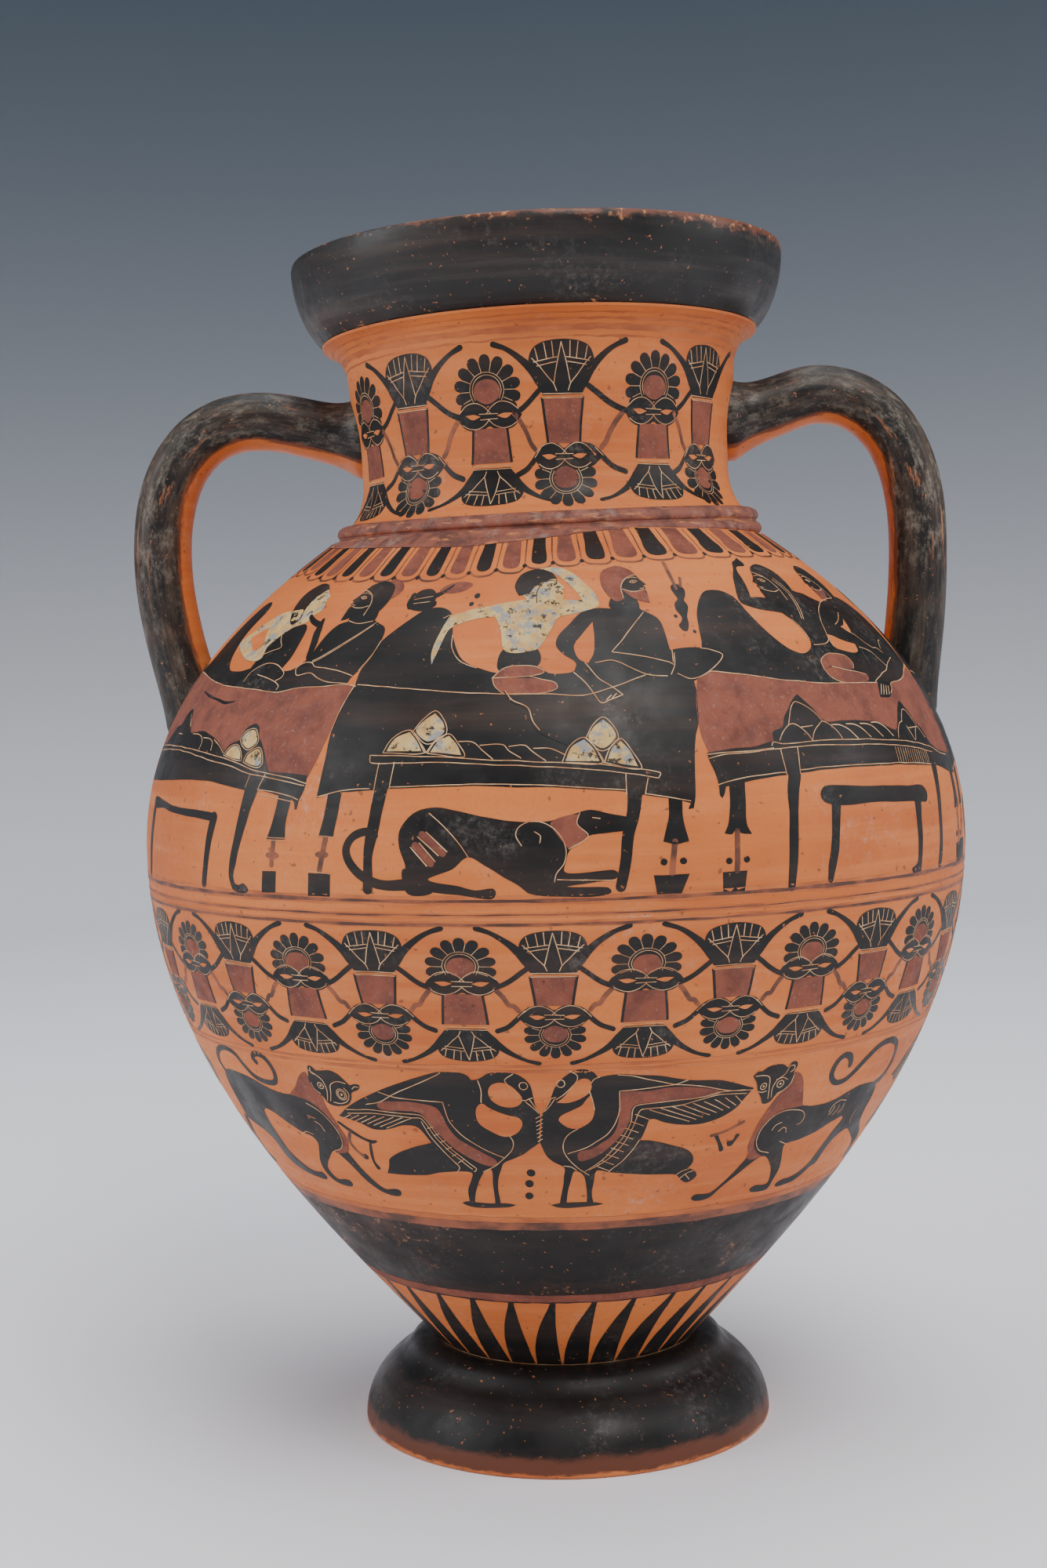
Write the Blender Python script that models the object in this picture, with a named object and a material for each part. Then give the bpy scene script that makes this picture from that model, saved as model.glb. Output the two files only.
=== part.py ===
"""An ovoid neck-amphora of fired clay: body, neck, mouth and foot thrown apart on the wheel, with two
pulled handles. Each joint is luted, so every piece meets its neighbour across a hairline of clay slip."""

import math

import bmesh
import bpy
from mathutils import Vector
from mathutils.geometry import interpolate_bezier

# Driving dimensions, in metres. Outlines are (radius, height) pairs.
HEIGHT = 0.400
BELLY_RADIUS = 0.140
BELLY_HEIGHT = 0.202
FOOT_JOINT_RADIUS = 0.0456
FOOT_JOINT_HEIGHT = 0.0293
SHOULDER_TOP_RADIUS = 0.0745
SHOULDER_TOP_HEIGHT = 0.3035
NECK_ROOT_RADIUS = 0.0665
NECK_WAIST_RADIUS = 0.0628
NECK_WAIST_HEIGHT = 0.325
FLANGE_RADIUS = 0.0744
MOUTH_JOINT_HEIGHT = 0.3727
RIM_RADIUS = 0.0838
RIM_INNER_RADIUS = 0.0745
FOOT_RADIUS = 0.0706
RING_RADIUS = 0.0728
RING_TOP = 0.3128

BODY_WALL = 0.0062
FLOOR_HEIGHT = 0.0390
NECK_WALL = 0.0060
SEAT_INNER_RADIUS = 0.0605
JOINT_GAP = 0.0003

HANDLE_RADIUS = 0.0103
HANDLE_CREST = (0.0970, 0.3498)
HANDLE_REACH = (0.1307, 0.3020)
LUTING_LENGTH = 0.0105
LUTING_EDGE = 0.0011
UPPER_LUTING_SPREAD = 0.0038
LOWER_LUTING_SPREAD = 0.0014
# The shoulder crosses the lower root at a slant: how far the wall falls along the handle for each
# unit outward.
SHOULDER_SLANT = 1.05

SEGMENTS = 48
HANDLE_SIDES = 16

# Colour, roughness and metallic value of each finish
FINISHES = {
    "clay": ((0.56, 0.17, 0.065), 0.55),
    "black_slip": ((0.018, 0.016, 0.015), 0.28),
    "red_slip": ((0.17, 0.045, 0.032), 0.6),
}


def clear_scene():
    for obj in list(bpy.data.objects):
        bpy.data.objects.remove(obj, do_unlink=True)


def finish(name):
    """The fired clay or slip material of this name, made once."""
    if name in bpy.data.materials:
        return bpy.data.materials[name]
    colour, roughness = FINISHES[name]
    material = bpy.data.materials.new(name)
    material.use_nodes = True
    shader = material.node_tree.nodes["Principled BSDF"]
    shader.inputs["Base Color"].default_value = (*colour, 1.0)
    shader.inputs["Roughness"].default_value = roughness
    shader.inputs["Metallic"].default_value = 0.0
    return material


def curve(start, start_pull, end_pull, end, steps):
    """Points along one Bezier curve in the (radius, height) plane, both ends included."""
    knots = [Vector((*point, 0.0)) for point in (start, start_pull, end_pull, end)]
    return [(point.x, point.y) for point in interpolate_bezier(*knots, steps + 1)]


def joined(*stretches):
    """One outline from several stretches that share their end points."""
    outline = []
    for stretch in stretches:
        outline += [point for point in stretch if point not in outline[-1:]]
    return outline


def offset(outline, distances):
    """The outline moved along its normals, to the right of its direction, by one distance for each point."""
    moved = []
    for i, (point, distance) in enumerate(zip(outline, distances)):
        before = Vector(outline[max(i - 1, 0)])
        after = Vector(outline[min(i + 1, len(outline) - 1)])
        along = (after - before).normalized()
        moved.append((point[0] + along.y * distance, point[1] - along.x * distance))
    return moved


def new_object(name, mesh_in_progress, finish_name):
    """Links a finished bmesh as a smooth-shaded object whose flat faces keep sharp edges."""
    bmesh.ops.recalc_face_normals(mesh_in_progress, faces=mesh_in_progress.faces)
    mesh = bpy.data.meshes.new(name)
    mesh_in_progress.to_mesh(mesh)
    mesh_in_progress.free()
    mesh.materials.append(finish(finish_name))
    mesh.shade_smooth()
    mesh.set_sharp_from_angle(angle=math.radians(35))
    obj = bpy.data.objects.new(name, mesh)
    bpy.context.scene.collection.objects.link(obj)
    return obj


def lathe(name, outline, finish_name):
    """Turns an outline about the Z axis. It is closed, or open with both ends on the axis."""
    bm = bmesh.new()
    verts = [bm.verts.new((radius, 0.0, height)) for radius, height in outline]
    edges = [bm.edges.new(pair) for pair in zip(verts, verts[1:])]
    if outline[0][0] > 0:
        edges.append(bm.edges.new((verts[-1], verts[0])))
    bmesh.ops.spin(
        bm,
        geom=verts + edges,
        cent=(0, 0, 0),
        axis=(0, 0, 1),
        angle=2 * math.pi,
        steps=SEGMENTS,
        use_merge=True,
    )
    bmesh.ops.remove_doubles(bm, verts=bm.verts, dist=1e-6)
    return new_object(name, bm, finish_name)


def tube(name, path, radii, finish_name, slant=0.0):
    """A round bar along a path in the XZ plane, with flat ends. Each ring leans along the path by slant
    for each unit outward."""
    bm = bmesh.new()
    rings = []
    for i, (point, radius) in enumerate(zip(path, radii)):
        before = Vector(path[max(i - 1, 0)])
        after = Vector(path[min(i + 1, len(path) - 1)])
        along = (after - before).normalized()
        ring = []
        for side in range(HANDLE_SIDES):
            angle = 2 * math.pi * side / HANDLE_SIDES
            outward = radius * math.cos(angle)
            x = point[0] + outward * (slant * along.x - along.y)
            z = point[1] + outward * (slant * along.y + along.x)
            ring.append(bm.verts.new((x, radius * math.sin(angle), z)))
        rings.append(ring)
    for ring, following in zip(rings, rings[1:]):
        for side in range(HANDLE_SIDES):
            turn = (side + 1) % HANDLE_SIDES
            bm.faces.new((ring[side], ring[turn], following[turn], following[side]))
    bm.faces.new(rings[0])
    bm.faces.new(rings[-1])
    return new_object(name, bm, finish_name)


def as_cutter(obj):
    obj.hide_render = True
    obj.display_type = "WIRE"
    return obj


def cut(obj, *cutters):
    for cutter in cutters:
        modifier = obj.modifiers.new("cut_" + cutter.name, "BOOLEAN")
        modifier.operation = "DIFFERENCE"
        modifier.solver = "EXACT"
        modifier.object = cutter


def body_outline():
    """The outside of the body, from the foot joint up to the neck seat: two curves that meet upright
    at the widest place."""
    base = (FOOT_JOINT_RADIUS, FOOT_JOINT_HEIGHT + JOINT_GAP)
    belly = (BELLY_RADIUS, BELLY_HEIGHT)
    top = (SHOULDER_TOP_RADIUS, SHOULDER_TOP_HEIGHT)
    base_pull = (base[0] + 0.0346, base[1] + 0.0394)
    lower = curve(base, base_pull, (belly[0], belly[1] - 0.0751), belly, 9)
    upper_pull = (top[0] + 0.0264, top[1] - 0.0185)
    upper = curve(belly, (belly[0], belly[1] + 0.0510), upper_pull, top, 8)
    return joined(lower, upper)


def neck_outline():
    """The outside of the neck, from its root up to the flange that carries the mouth."""
    root = (NECK_ROOT_RADIUS, RING_TOP)
    waist = (NECK_WAIST_RADIUS, NECK_WAIST_HEIGHT)
    throat = (0.0664, 0.3625)
    flange = (FLANGE_RADIUS - 0.0002, MOUTH_JOINT_HEIGHT - 0.0009)
    return joined(
        [(NECK_ROOT_RADIUS, SHOULDER_TOP_HEIGHT + JOINT_GAP), root],
        curve(root, (0.0644, 0.3155), (waist[0], 0.3205), waist, 4),
        curve(waist, (waist[0], 0.3380), (0.0659, 0.3520), throat, 4),
        curve(throat, (0.0674, 0.3682), (0.0712, 0.3710), flange, 4),
    )


def make_body():
    outside = body_outline()
    last = len(outside) - 1
    # The wall is thicker near the floor and under the neck than at the belly.
    walls = [BODY_WALL + 0.0024 * abs(2 * i / last - 1) ** 3 for i in range(last + 1)]
    inside = offset(outside, [-wall for wall in walls])
    inside = [p for p in inside if FLOOR_HEIGHT + 0.004 < p[1] < SHOULDER_TOP_HEIGHT - 0.004]
    floor_edge = (inside[0][0] - 0.009, FLOOR_HEIGHT)
    seat_edge = (SEAT_INNER_RADIUS, SHOULDER_TOP_HEIGHT)
    outline = [(0.0, outside[0][1])] + outside + [seat_edge]
    outline += inside[::-1] + [floor_edge, (0.0, FLOOR_HEIGHT)]
    return lathe("body", outline, "clay")


def make_neck():
    top = (FLANGE_RADIUS, MOUTH_JOINT_HEIGHT)
    outside = neck_outline() + [top]
    bore = [(0.0612, top[1]), (0.0604, 0.3620)]
    bore += curve(
        (0.0604, 0.3560),
        (0.0590, 0.3450),
        (NECK_WAIST_RADIUS - NECK_WALL, 0.3400),
        (NECK_WAIST_RADIUS - NECK_WALL, NECK_WAIST_HEIGHT),
        3,
    )
    bore.append((SEAT_INNER_RADIUS - 0.0005, outside[0][1]))
    return lathe("neck", outside + bore, "clay")


def make_neck_ring():
    """The raised moulding that covers the joint of neck and shoulder."""
    inner = NECK_ROOT_RADIUS + JOINT_GAP
    bottom = SHOULDER_TOP_HEIGHT + JOINT_GAP
    moulding = curve(
        (RING_RADIUS - 0.0008, bottom),
        (RING_RADIUS + 0.0006, bottom + 0.0035),
        (RING_RADIUS - 0.0002, RING_TOP - 0.0012),
        (inner + 0.0030, RING_TOP - 0.0001),
        5,
    )
    return lathe("neck_ring", [(inner, bottom)] + moulding + [(inner, RING_TOP - 0.0004)], "red_slip")


def make_mouth():
    """The echinus mouth: a rounded outside, a flat rim and an inside that narrows to the neck."""
    bottom = MOUTH_JOINT_HEIGHT + JOINT_GAP
    outside = curve(
        (FLANGE_RADIUS - 0.0002, bottom),
        (0.0775, 0.3785),
        (RIM_RADIUS - 0.0002, 0.3910),
        (RIM_RADIUS, HEIGHT - 0.0020),
        6,
    )
    rim = [(RIM_RADIUS - 0.0004, HEIGHT - 0.0008), (RIM_RADIUS - 0.0014, HEIGHT)]
    rim += [(RIM_INNER_RADIUS, HEIGHT), (RIM_INNER_RADIUS - 0.0010, HEIGHT - 0.0010)]
    inside = curve(
        rim[-1],
        (RIM_INNER_RADIUS - 0.0025, 0.3890),
        (0.0660, 0.3790),
        (0.0612, bottom),
        4,
    )
    return lathe("mouth", joined(outside, rim, inside), "black_slip")


def make_foot():
    """A small collar under the body, a crease, and a convex flare down to a flat resting ring."""
    top = FOOT_JOINT_HEIGHT
    collar = [(0.0340, top), (0.0460, top), (0.0522, 0.0284), (0.0542, 0.0274), (0.0549, 0.0258)]
    # The flare is a quarter ellipse that would start at the axis side of the crease.
    centre_radius = 0.0357
    rise = 0.0285
    toe_height = 0.0012
    crease_turn = math.asin((0.0549 - centre_radius) / (FOOT_RADIUS - centre_radius))
    flare = []
    flare_steps = 5
    for step in range(flare_steps + 1):
        turn = crease_turn + (math.pi / 2 - crease_turn) * step / flare_steps
        radius = centre_radius + (FOOT_RADIUS - centre_radius) * math.sin(turn)
        flare.append((radius, toe_height + rise * math.cos(turn) * (1 - toe_height / rise)))
    resting_ring = [(FOOT_RADIUS - 0.0010, 0.0), (0.0590, 0.0)]
    hollow = curve((0.0572, 0.0012), (0.0530, 0.0100), (0.0400, 0.0160), (0.0340, 0.0230), 4)
    return lathe("foot", collar + flare + resting_ring + hollow, "black_slip")


def handle_path(side):
    """The middle line of a handle, from inside the neck wall to inside the shoulder. side is +1 or -1."""
    crest = HANDLE_CREST
    reach = HANDLE_REACH
    path = joined(
        curve((0.0540, 0.3430), (0.0760, 0.3430), (crest[0] - 0.0110, crest[1]), crest, 7),
        curve(crest, (crest[0] + 0.0210, crest[1]), (reach[0], reach[1] + 0.0300), reach, 7),
        curve(reach, (reach[0], reach[1] - 0.0260), (0.1239, 0.2510), (0.1175, 0.2300), 7),
    )
    return [(side * x, z) for x, z in path]


def wall_cutters():
    """The neck and the shoulder as solids, one joint gap larger than the real pieces."""
    cutters = []
    for name, outline, low, high in (
        ("neck_clearance", neck_outline(), NECK_WAIST_HEIGHT - 0.005, 0.366),
        ("shoulder_clearance", body_outline(), 0.200, 0.296),
    ):
        grown = offset(outline, [JOINT_GAP] * len(outline))
        grown = [point for point in grown if low < point[1] < high]
        outline = [(0.0, grown[0][1])] + grown + [(0.0, grown[-1][1])]
        cutters.append(as_cutter(lathe(name, outline, "clay")))
    return cutters


def luting_radii(path, wall_point, most_spread):
    """The clay worked round a handle root: thin away from the wall, spreading towards it."""
    radii = []
    for point in path:
        away = (Vector(point) - Vector(wall_point)).length / LUTING_LENGTH
        spread = most_spread * max(0.0, 1.0 - away) ** 2
        radii.append(HANDLE_RADIUS + JOINT_GAP + LUTING_EDGE + spread)
    return radii


def stretch(path, start, end, steps):
    """Evenly spaced points between two fractions of a path's length."""
    points = [Vector(point) for point in path]
    lengths = [0.0]
    for before, after in zip(points, points[1:]):
        lengths.append(lengths[-1] + (after - before).length)
    found = []
    for step in range(steps + 1):
        target = lengths[-1] * (start + (end - start) * step / steps)
        i = min(sum(length < target for length in lengths[1:]), len(points) - 2)
        share = (target - lengths[i]) / (lengths[i + 1] - lengths[i])
        found.append(tuple(points[i].lerp(points[i + 1], share)))
    return found


def make_handle(side_name, side, neck_cutter, shoulder_cutter):
    path = handle_path(side)
    handle = tube(side_name + "_handle", path, [HANDLE_RADIUS] * len(path), "black_slip")
    cut(handle, neck_cutter, shoulder_cutter)
    clearance = [HANDLE_RADIUS + JOINT_GAP] * len(path)
    core = as_cutter(tube(side_name + "_handle_clearance", path, clearance, "clay"))

    upper_path = stretch(path, 0.045, 0.112, 4)
    upper_radii = luting_radii(upper_path, (side * 0.0645, 0.3435), UPPER_LUTING_SPREAD)
    upper = tube(side_name + "_handle_upper_luting", upper_path, upper_radii, "black_slip")
    cut(upper, neck_cutter, core)

    lower_path = stretch(path, 0.825, 0.945, 5)
    lower_radii = luting_radii(lower_path, (side * 0.1236, 0.2510), LOWER_LUTING_SPREAD)
    slant = side * SHOULDER_SLANT
    lower = tube(side_name + "_handle_lower_luting", lower_path, lower_radii, "black_slip", slant)
    cut(lower, shoulder_cutter, core)


def main():
    clear_scene()
    make_body()
    make_neck()
    make_neck_ring()
    make_mouth()
    make_foot()
    neck_cutter, shoulder_cutter = wall_cutters()
    for side_name, side in (("left", -1), ("right", 1)):
        make_handle(side_name, side, neck_cutter, shoulder_cutter)


main()
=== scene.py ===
"""The looks of an ovoid black-figure neck-amphora: thrown walls, pulled handles, and a painting whose every
stroke of slip, added red, added white and incision is a thin skin on the clay. Lengths are in millimetres,
and points on a wall are (along, up): the distance round it at a reference radius, and up its outline."""

import math

import bmesh
import bpy
import numpy as np
from mathutils import Matrix, Vector, noise
from mathutils.geometry import delaunay_2d_cdt, interpolate_bezier


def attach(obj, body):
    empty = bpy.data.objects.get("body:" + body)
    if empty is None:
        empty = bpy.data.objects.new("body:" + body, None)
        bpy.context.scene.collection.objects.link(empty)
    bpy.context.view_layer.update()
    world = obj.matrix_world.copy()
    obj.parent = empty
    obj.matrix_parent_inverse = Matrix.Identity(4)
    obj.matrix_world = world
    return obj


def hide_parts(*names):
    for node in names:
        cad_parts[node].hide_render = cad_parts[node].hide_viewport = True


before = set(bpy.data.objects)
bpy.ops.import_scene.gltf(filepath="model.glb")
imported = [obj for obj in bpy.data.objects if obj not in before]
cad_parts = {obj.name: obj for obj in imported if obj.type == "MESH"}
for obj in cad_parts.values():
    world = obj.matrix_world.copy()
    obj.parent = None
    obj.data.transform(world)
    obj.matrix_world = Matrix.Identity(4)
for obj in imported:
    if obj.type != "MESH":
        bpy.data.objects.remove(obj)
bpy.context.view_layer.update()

MM = 0.001
TURNS = 288
# How fast painted shade darkens the backdrop with height.
BACKDROP_SHADE_RATE = 1.66
# Distances along the body and the neck are measured round circles of these radii.
BODY_REFERENCE = 132.0
NECK_REFERENCE = 64.5
AROUND = 2 * math.pi * BODY_REFERENCE

# The neck leans on the body, to the left and a little back, about LEAN_HEIGHT. NECK_FOOT is where it
# comes out of the moulding, and the moulding rises to the right and to the back.
LEAN_X = math.radians(-0.36)
LEAN_Y = math.radians(-1.33)
LEAN_HEIGHT = 310.0
NECK_FOOT = 312.8
RING_RISE_RIGHT = math.tan(math.radians(1.4))
RING_RISE_BACK = math.tan(math.radians(2.2))

# The painted skins lie this far off the wall, and each later level this much further. Incised lines are
# cut at this share of their nominal width.
SKIN = 0.07
SKIN_STEP = 0.028
GRAVER = 0.72

BODY_WALL_THICKNESS = 6.2
FOOT_FLARE = (35.7, 1.2)
FOOT_FLARE_WIDE = 34.9
FOOT_FLARE_TALL = 27.3
HANDLE_SIDES = 40
HANDLE_REACH = {-1: 133.6, 1: 127.3}
HANDLE_GIRTH = 10.1
COLUMN_PAIRS = 16
RAYS = 33

CAMERA_PLACE = (0.0, -0.7564, 0.2598)
CAMERA_YAW = 0.7916
CAMERA_DIP = 3.0
CAMERA_ROLL = -1.363
FLOOR_RADIUS = 1.6
SWEEP_RADIUS = 0.8
SWEEP_SIDES = 96


# ---------------------------------------------------------------- outlines

def curve(start, start_pull, end_pull, end, steps=24):
    """Points along one Bezier curve in the (radius, height) plane, both ends included."""
    knots = [Vector((*point, 0.0)) for point in (start, start_pull, end_pull, end)]
    return [(point.x, point.y) for point in interpolate_bezier(*knots, steps + 1)]


def joined(*stretches):
    """One outline from several stretches that share their end points."""
    outline = []
    for stretch in stretches:
        outline += stretch[1:] if outline and math.dist(outline[-1], stretch[0]) < 0.01 else stretch
    return outline


BODY_OUTLINE = joined(
    curve((45.6, 29.4), (80.2, 69.0), (140.0, 126.9), (140.0, 202.0), 90),
    curve((140.0, 202.0), (140.0, 253.0), (100.9, 285.0), (74.5, 303.7), 60),
)
NECK_OUTLINE = joined(
    [(69.4, NECK_FOOT - 3.8), (67.9, NECK_FOOT - 1.8)],
    curve((66.5, NECK_FOOT), (64.4, 315.5), (62.8, 320.5), (62.8, 325.0), 14),
    curve((62.8, 325.0), (62.8, 338.0), (65.9, 352.0), (66.4, 362.5), 24),
    curve((66.4, 362.5), (67.4, 368.2), (71.2, 371.0), (74.2, 371.8), 14),
)


def radius_at(outline, height):
    return float(np.interp(height, [p[1] for p in outline], [p[0] for p in outline]))


def leaned(point, share=1.0):
    """A point of the neck, mouth or upper handle, carried along with the lean of the neck."""
    turn = Matrix.Rotation(LEAN_Y * share, 3, "Y") @ Matrix.Rotation(LEAN_X * share, 3, "X")
    foot = Vector((0.0, 0.0, LEAN_HEIGHT))
    return turn @ (Vector(point) - foot) + foot


def slumped(point):
    """A point of the moulding, which slumped to the front and to the left while it was wet."""
    x, y, z = point
    return (x, y, z + RING_RISE_RIGHT * x + RING_RISE_BACK * y)


# ---------------------------------------------------------------- materials

class Nodes:
    """A Principled material with short ways to add the few nodes that the finishes share."""

    def __init__(self, name):
        self.material = bpy.data.materials.new(name)
        self.material.use_nodes = True
        self.tree = self.material.node_tree
        self.shader = self.tree.nodes["Principled BSDF"]
        self.place = self.tree.nodes.new("ShaderNodeTexCoord").outputs["Object"]

    def feed(self, socket, value):
        if isinstance(value, bpy.types.NodeSocket):
            self.tree.links.new(value, socket)
        elif hasattr(value, "__len__") and len(value) == 3 and socket.type == "RGBA":
            socket.default_value = (*value, 1.0)
        else:
            socket.default_value = value

    def stretched(self, scale, source=None):
        node = self.tree.nodes.new("ShaderNodeMapping")
        self.feed(node.inputs["Vector"], source or self.place)
        node.inputs["Scale"].default_value = scale
        return node.outputs[0]

    def noise(self, size, detail=3.0, roughness=0.55, scale=(1, 1, 1), source=None, distortion=0.0):
        """Noise whose largest lumps are about size millimetres across."""
        node = self.tree.nodes.new("ShaderNodeTexNoise")
        self.feed(node.inputs["Vector"], self.stretched(scale, source))
        node.inputs["Scale"].default_value = 1.0 / (size * MM)
        node.inputs["Detail"].default_value = detail
        node.inputs["Roughness"].default_value = roughness
        node.inputs["Distortion"].default_value = distortion
        return node.outputs["Fac"]

    def ramp(self, source, low, high, start=0.0, end=1.0):
        node = self.tree.nodes.new("ShaderNodeMapRange")
        node.interpolation_type = "SMOOTHSTEP"
        self.feed(node.inputs["Value"], source)
        for socket, value in zip(("From Min", "From Max", "To Min", "To Max"), (low, high, start, end)):
            node.inputs[socket].default_value = value
        return node.outputs[0]

    def math(self, operation, first, second):
        node = self.tree.nodes.new("ShaderNodeMath")
        node.operation = operation
        self.feed(node.inputs[0], first)
        self.feed(node.inputs[1], second)
        return node.outputs[0]

    def mix(self, share, first, second):
        node = self.tree.nodes.new("ShaderNodeMix")
        node.data_type = "RGBA"
        self.feed(node.inputs[0], share)
        self.feed(node.inputs[6], first)
        self.feed(node.inputs[7], second)
        return node.outputs[2]

    def attribute(self, name, output="Fac"):
        node = self.tree.nodes.new("ShaderNodeAttribute")
        node.attribute_name = name
        return node.outputs[output]

    def height(self):
        node = self.tree.nodes.new("ShaderNodeSeparateXYZ")
        self.feed(node.inputs[0], self.place)
        return node.outputs["Z"]

    def bump(self, source, depth, strength=1.0):
        node = self.tree.nodes.new("ShaderNodeBump")
        node.inputs["Distance"].default_value = depth * MM
        node.inputs["Strength"].default_value = strength
        self.feed(node.inputs["Height"], source)
        return node.outputs[0]

    def done(self, colour, roughness, normal=None, specular=0.5):
        self.feed(self.shader.inputs["Base Color"], colour)
        self.feed(self.shader.inputs["Roughness"], roughness)
        self.shader.inputs["Specular IOR Level"].default_value = specular
        if normal is not None:
            self.feed(self.shader.inputs["Normal"], normal)
        return self.material


CLAY_LIGHT = (0.650, 0.187, 0.046)
CLAY_DEEP = (0.510, 0.126, 0.032)
CLAY_PALE = (0.680, 0.232, 0.074)
BLACK = (0.0105, 0.0095, 0.0090)
BLACK_WORN = (0.046, 0.027, 0.020)
RED = (0.238, 0.069, 0.040)
RED_DEEP = (0.142, 0.043, 0.030)
CREAM = (0.600, 0.420, 0.180)
SLATE = (0.230, 0.255, 0.275)
LIME = (0.480, 0.420, 0.370)


def clay_colour(n):
    """Polished orange clay: wheel streaks, cloudy firing, dark and pale specks, and a lime bloom."""
    cloud = n.ramp(n.noise(55, 3), 0.30, 0.72)
    colour = n.mix(cloud, CLAY_DEEP, CLAY_LIGHT)
    streak = n.ramp(n.noise(16, 4, 0.6, (0.16, 0.16, 3.2)), 0.42, 0.68, 0.0, 0.55)
    colour = n.mix(streak, colour, CLAY_PALE)
    grain = n.ramp(n.noise(1.3, 2), 0.35, 0.70, 0.0, 0.20)
    colour = n.mix(grain, colour, CLAY_DEEP)
    spots = n.ramp(n.noise(2.3, 1), 0.70, 0.76, 0.0, 0.65)
    colour = n.mix(spots, colour, (0.16, 0.055, 0.030))
    clouds = n.ramp(n.noise(30, 4, 0.65), 0.54, 0.72)
    bloom = n.math("MULTIPLY", clouds, n.ramp(n.noise(2.4, 5, 0.75), 0.44, 0.72))
    return n.mix(n.math("MULTIPLY", bloom, 0.50), colour, LIME)


def clay_material():
    n = Nodes("orange_clay")
    relief = n.math("ADD", n.noise(9, 3, 0.5, (0.05, 0.05, 2.4)), n.math("MULTIPLY", n.noise(0.8, 3), 0.35))
    rough = n.ramp(n.noise(3, 3), 0.3, 0.7, 0.50, 0.66)
    return n.done(clay_colour(n), rough, n.bump(relief, 0.10, 0.55), 0.24)


def slip_colour(n, wear=0.0):
    """Black gloss: brushed thin in places, chipped to the clay in specks, scratched and dusted with lime."""
    brushed = n.ramp(n.noise(20, 4, 0.6, (0.22, 0.22, 2.2)), 0.44 - wear, 0.80 - wear, 0.0, 0.85)
    colour = n.mix(brushed, BLACK, BLACK_WORN)
    chips = n.ramp(n.noise(1.6, 2, 0.6), 0.700 - wear, 0.740 - wear, 0.0, 0.80)
    colour = n.mix(chips, colour, (0.36, 0.13, 0.052))
    clouds = n.ramp(n.noise(34, 4, 0.65), 0.52, 0.72)
    bloom = n.math("MULTIPLY", clouds, n.ramp(n.noise(2.2, 5, 0.78), 0.44, 0.74))
    return n.mix(n.math("MULTIPLY", bloom, 0.22), colour, LIME)


def slip_finish(n, colour, specular=0.26):
    rough = n.ramp(n.noise(14, 4, 0.6), 0.30, 0.72, 0.34, 0.56)
    relief = n.math("ADD", n.noise(6, 3, 0.5, (0.2, 0.2, 2.4)), n.math("MULTIPLY", n.noise(0.7, 3), 0.30))
    return n.done(colour, rough, n.bump(relief, 0.07, 0.5), specular)


def black_material():
    n = Nodes("black_gloss")
    return slip_finish(n, slip_colour(n))


def worn_material():
    """Black gloss rubbed through to reddish brown and clay in a wide worn patch."""
    n = Nodes("worn_gloss")
    colour = slip_colour(n, 0.010)
    rubbed = n.ramp(n.noise(46, 5, 0.72, (1, 1, 1.4)), 0.50, 0.70, 0.0, 0.75)
    colour = n.mix(rubbed, colour, (0.080, 0.034, 0.022))
    patch = n.ramp(n.noise(46, 3, 0.6, (1, 1, 1.4)), 0.50, 0.62)
    crumbs = n.math("MULTIPLY", patch, n.ramp(n.noise(2.4, 3, 0.7), 0.58, 0.66))
    return slip_finish(n, n.mix(crumbs, colour, (0.30, 0.14, 0.070)))


def wash_material():
    """Slip thinned to a wash, hardly darker than the clay."""
    n = Nodes("slip_wash")
    strength = n.ramp(n.noise(18, 4, 0.65, (1, 1, 3.0)), 0.30, 0.66)
    colour = n.mix(strength, (0.36, 0.092, 0.030), (0.55, 0.157, 0.046))
    return n.done(colour, 0.56, n.bump(n.noise(0.8, 3), 0.05, 0.5), 0.30)


def red_material():
    n = Nodes("added_red")
    cloud = n.ramp(n.noise(9, 4, 0.65), 0.32, 0.62)
    colour = n.mix(cloud, RED_DEEP, RED)
    bare = n.ramp(n.noise(3.2, 4, 0.7), 0.64, 0.74, 0.0, 0.7)
    colour = n.mix(bare, colour, (0.040, 0.022, 0.018))
    bloom = n.ramp(n.noise(1.2, 4, 0.75), 0.56, 0.74, 0.0, 0.28)
    colour = n.mix(bloom, colour, LIME)
    return n.done(colour, n.ramp(n.noise(4, 3), 0.3, 0.7, 0.58, 0.80), n.bump(n.noise(0.9, 3), 0.06, 0.6), 0.3)


def cream_material():
    """Added white, gone yellow, with blue-grey encrustation, flaked to the black below."""
    n = Nodes("added_white")
    colour = n.mix(n.ramp(n.noise(5, 4, 0.6), 0.36, 0.64), (0.52, 0.30, 0.095), CREAM)
    grey = n.ramp(n.noise(4.2, 5, 0.72), 0.50, 0.60, 0.0, 0.85)
    colour = n.mix(grey, colour, SLATE)
    flaked = n.ramp(n.noise(3.4, 5, 0.75), 0.565, 0.605, 0.0, 0.95)
    colour = n.mix(flaked, colour, (0.022, 0.021, 0.022))
    pale = n.ramp(n.noise(1.6, 4, 0.7), 0.60, 0.70, 0.0, 0.7)
    colour = n.mix(pale, colour, (0.56, 0.54, 0.48))
    return n.done(colour, 0.72, n.bump(n.noise(1.2, 4), 0.14, 0.8), 0.3)


def brown_material():
    """Slip brushed on so thinly that it fired brown."""
    n = Nodes("thin_slip")
    cloud = n.ramp(n.noise(12, 4, 0.6, (1, 1, 1.5)), 0.35, 0.68)
    colour = n.mix(cloud, (0.075, 0.030, 0.020), (0.300, 0.088, 0.038))
    return n.done(colour, 0.50, n.bump(n.noise(0.8, 3), 0.05, 0.5), 0.36)


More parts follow.
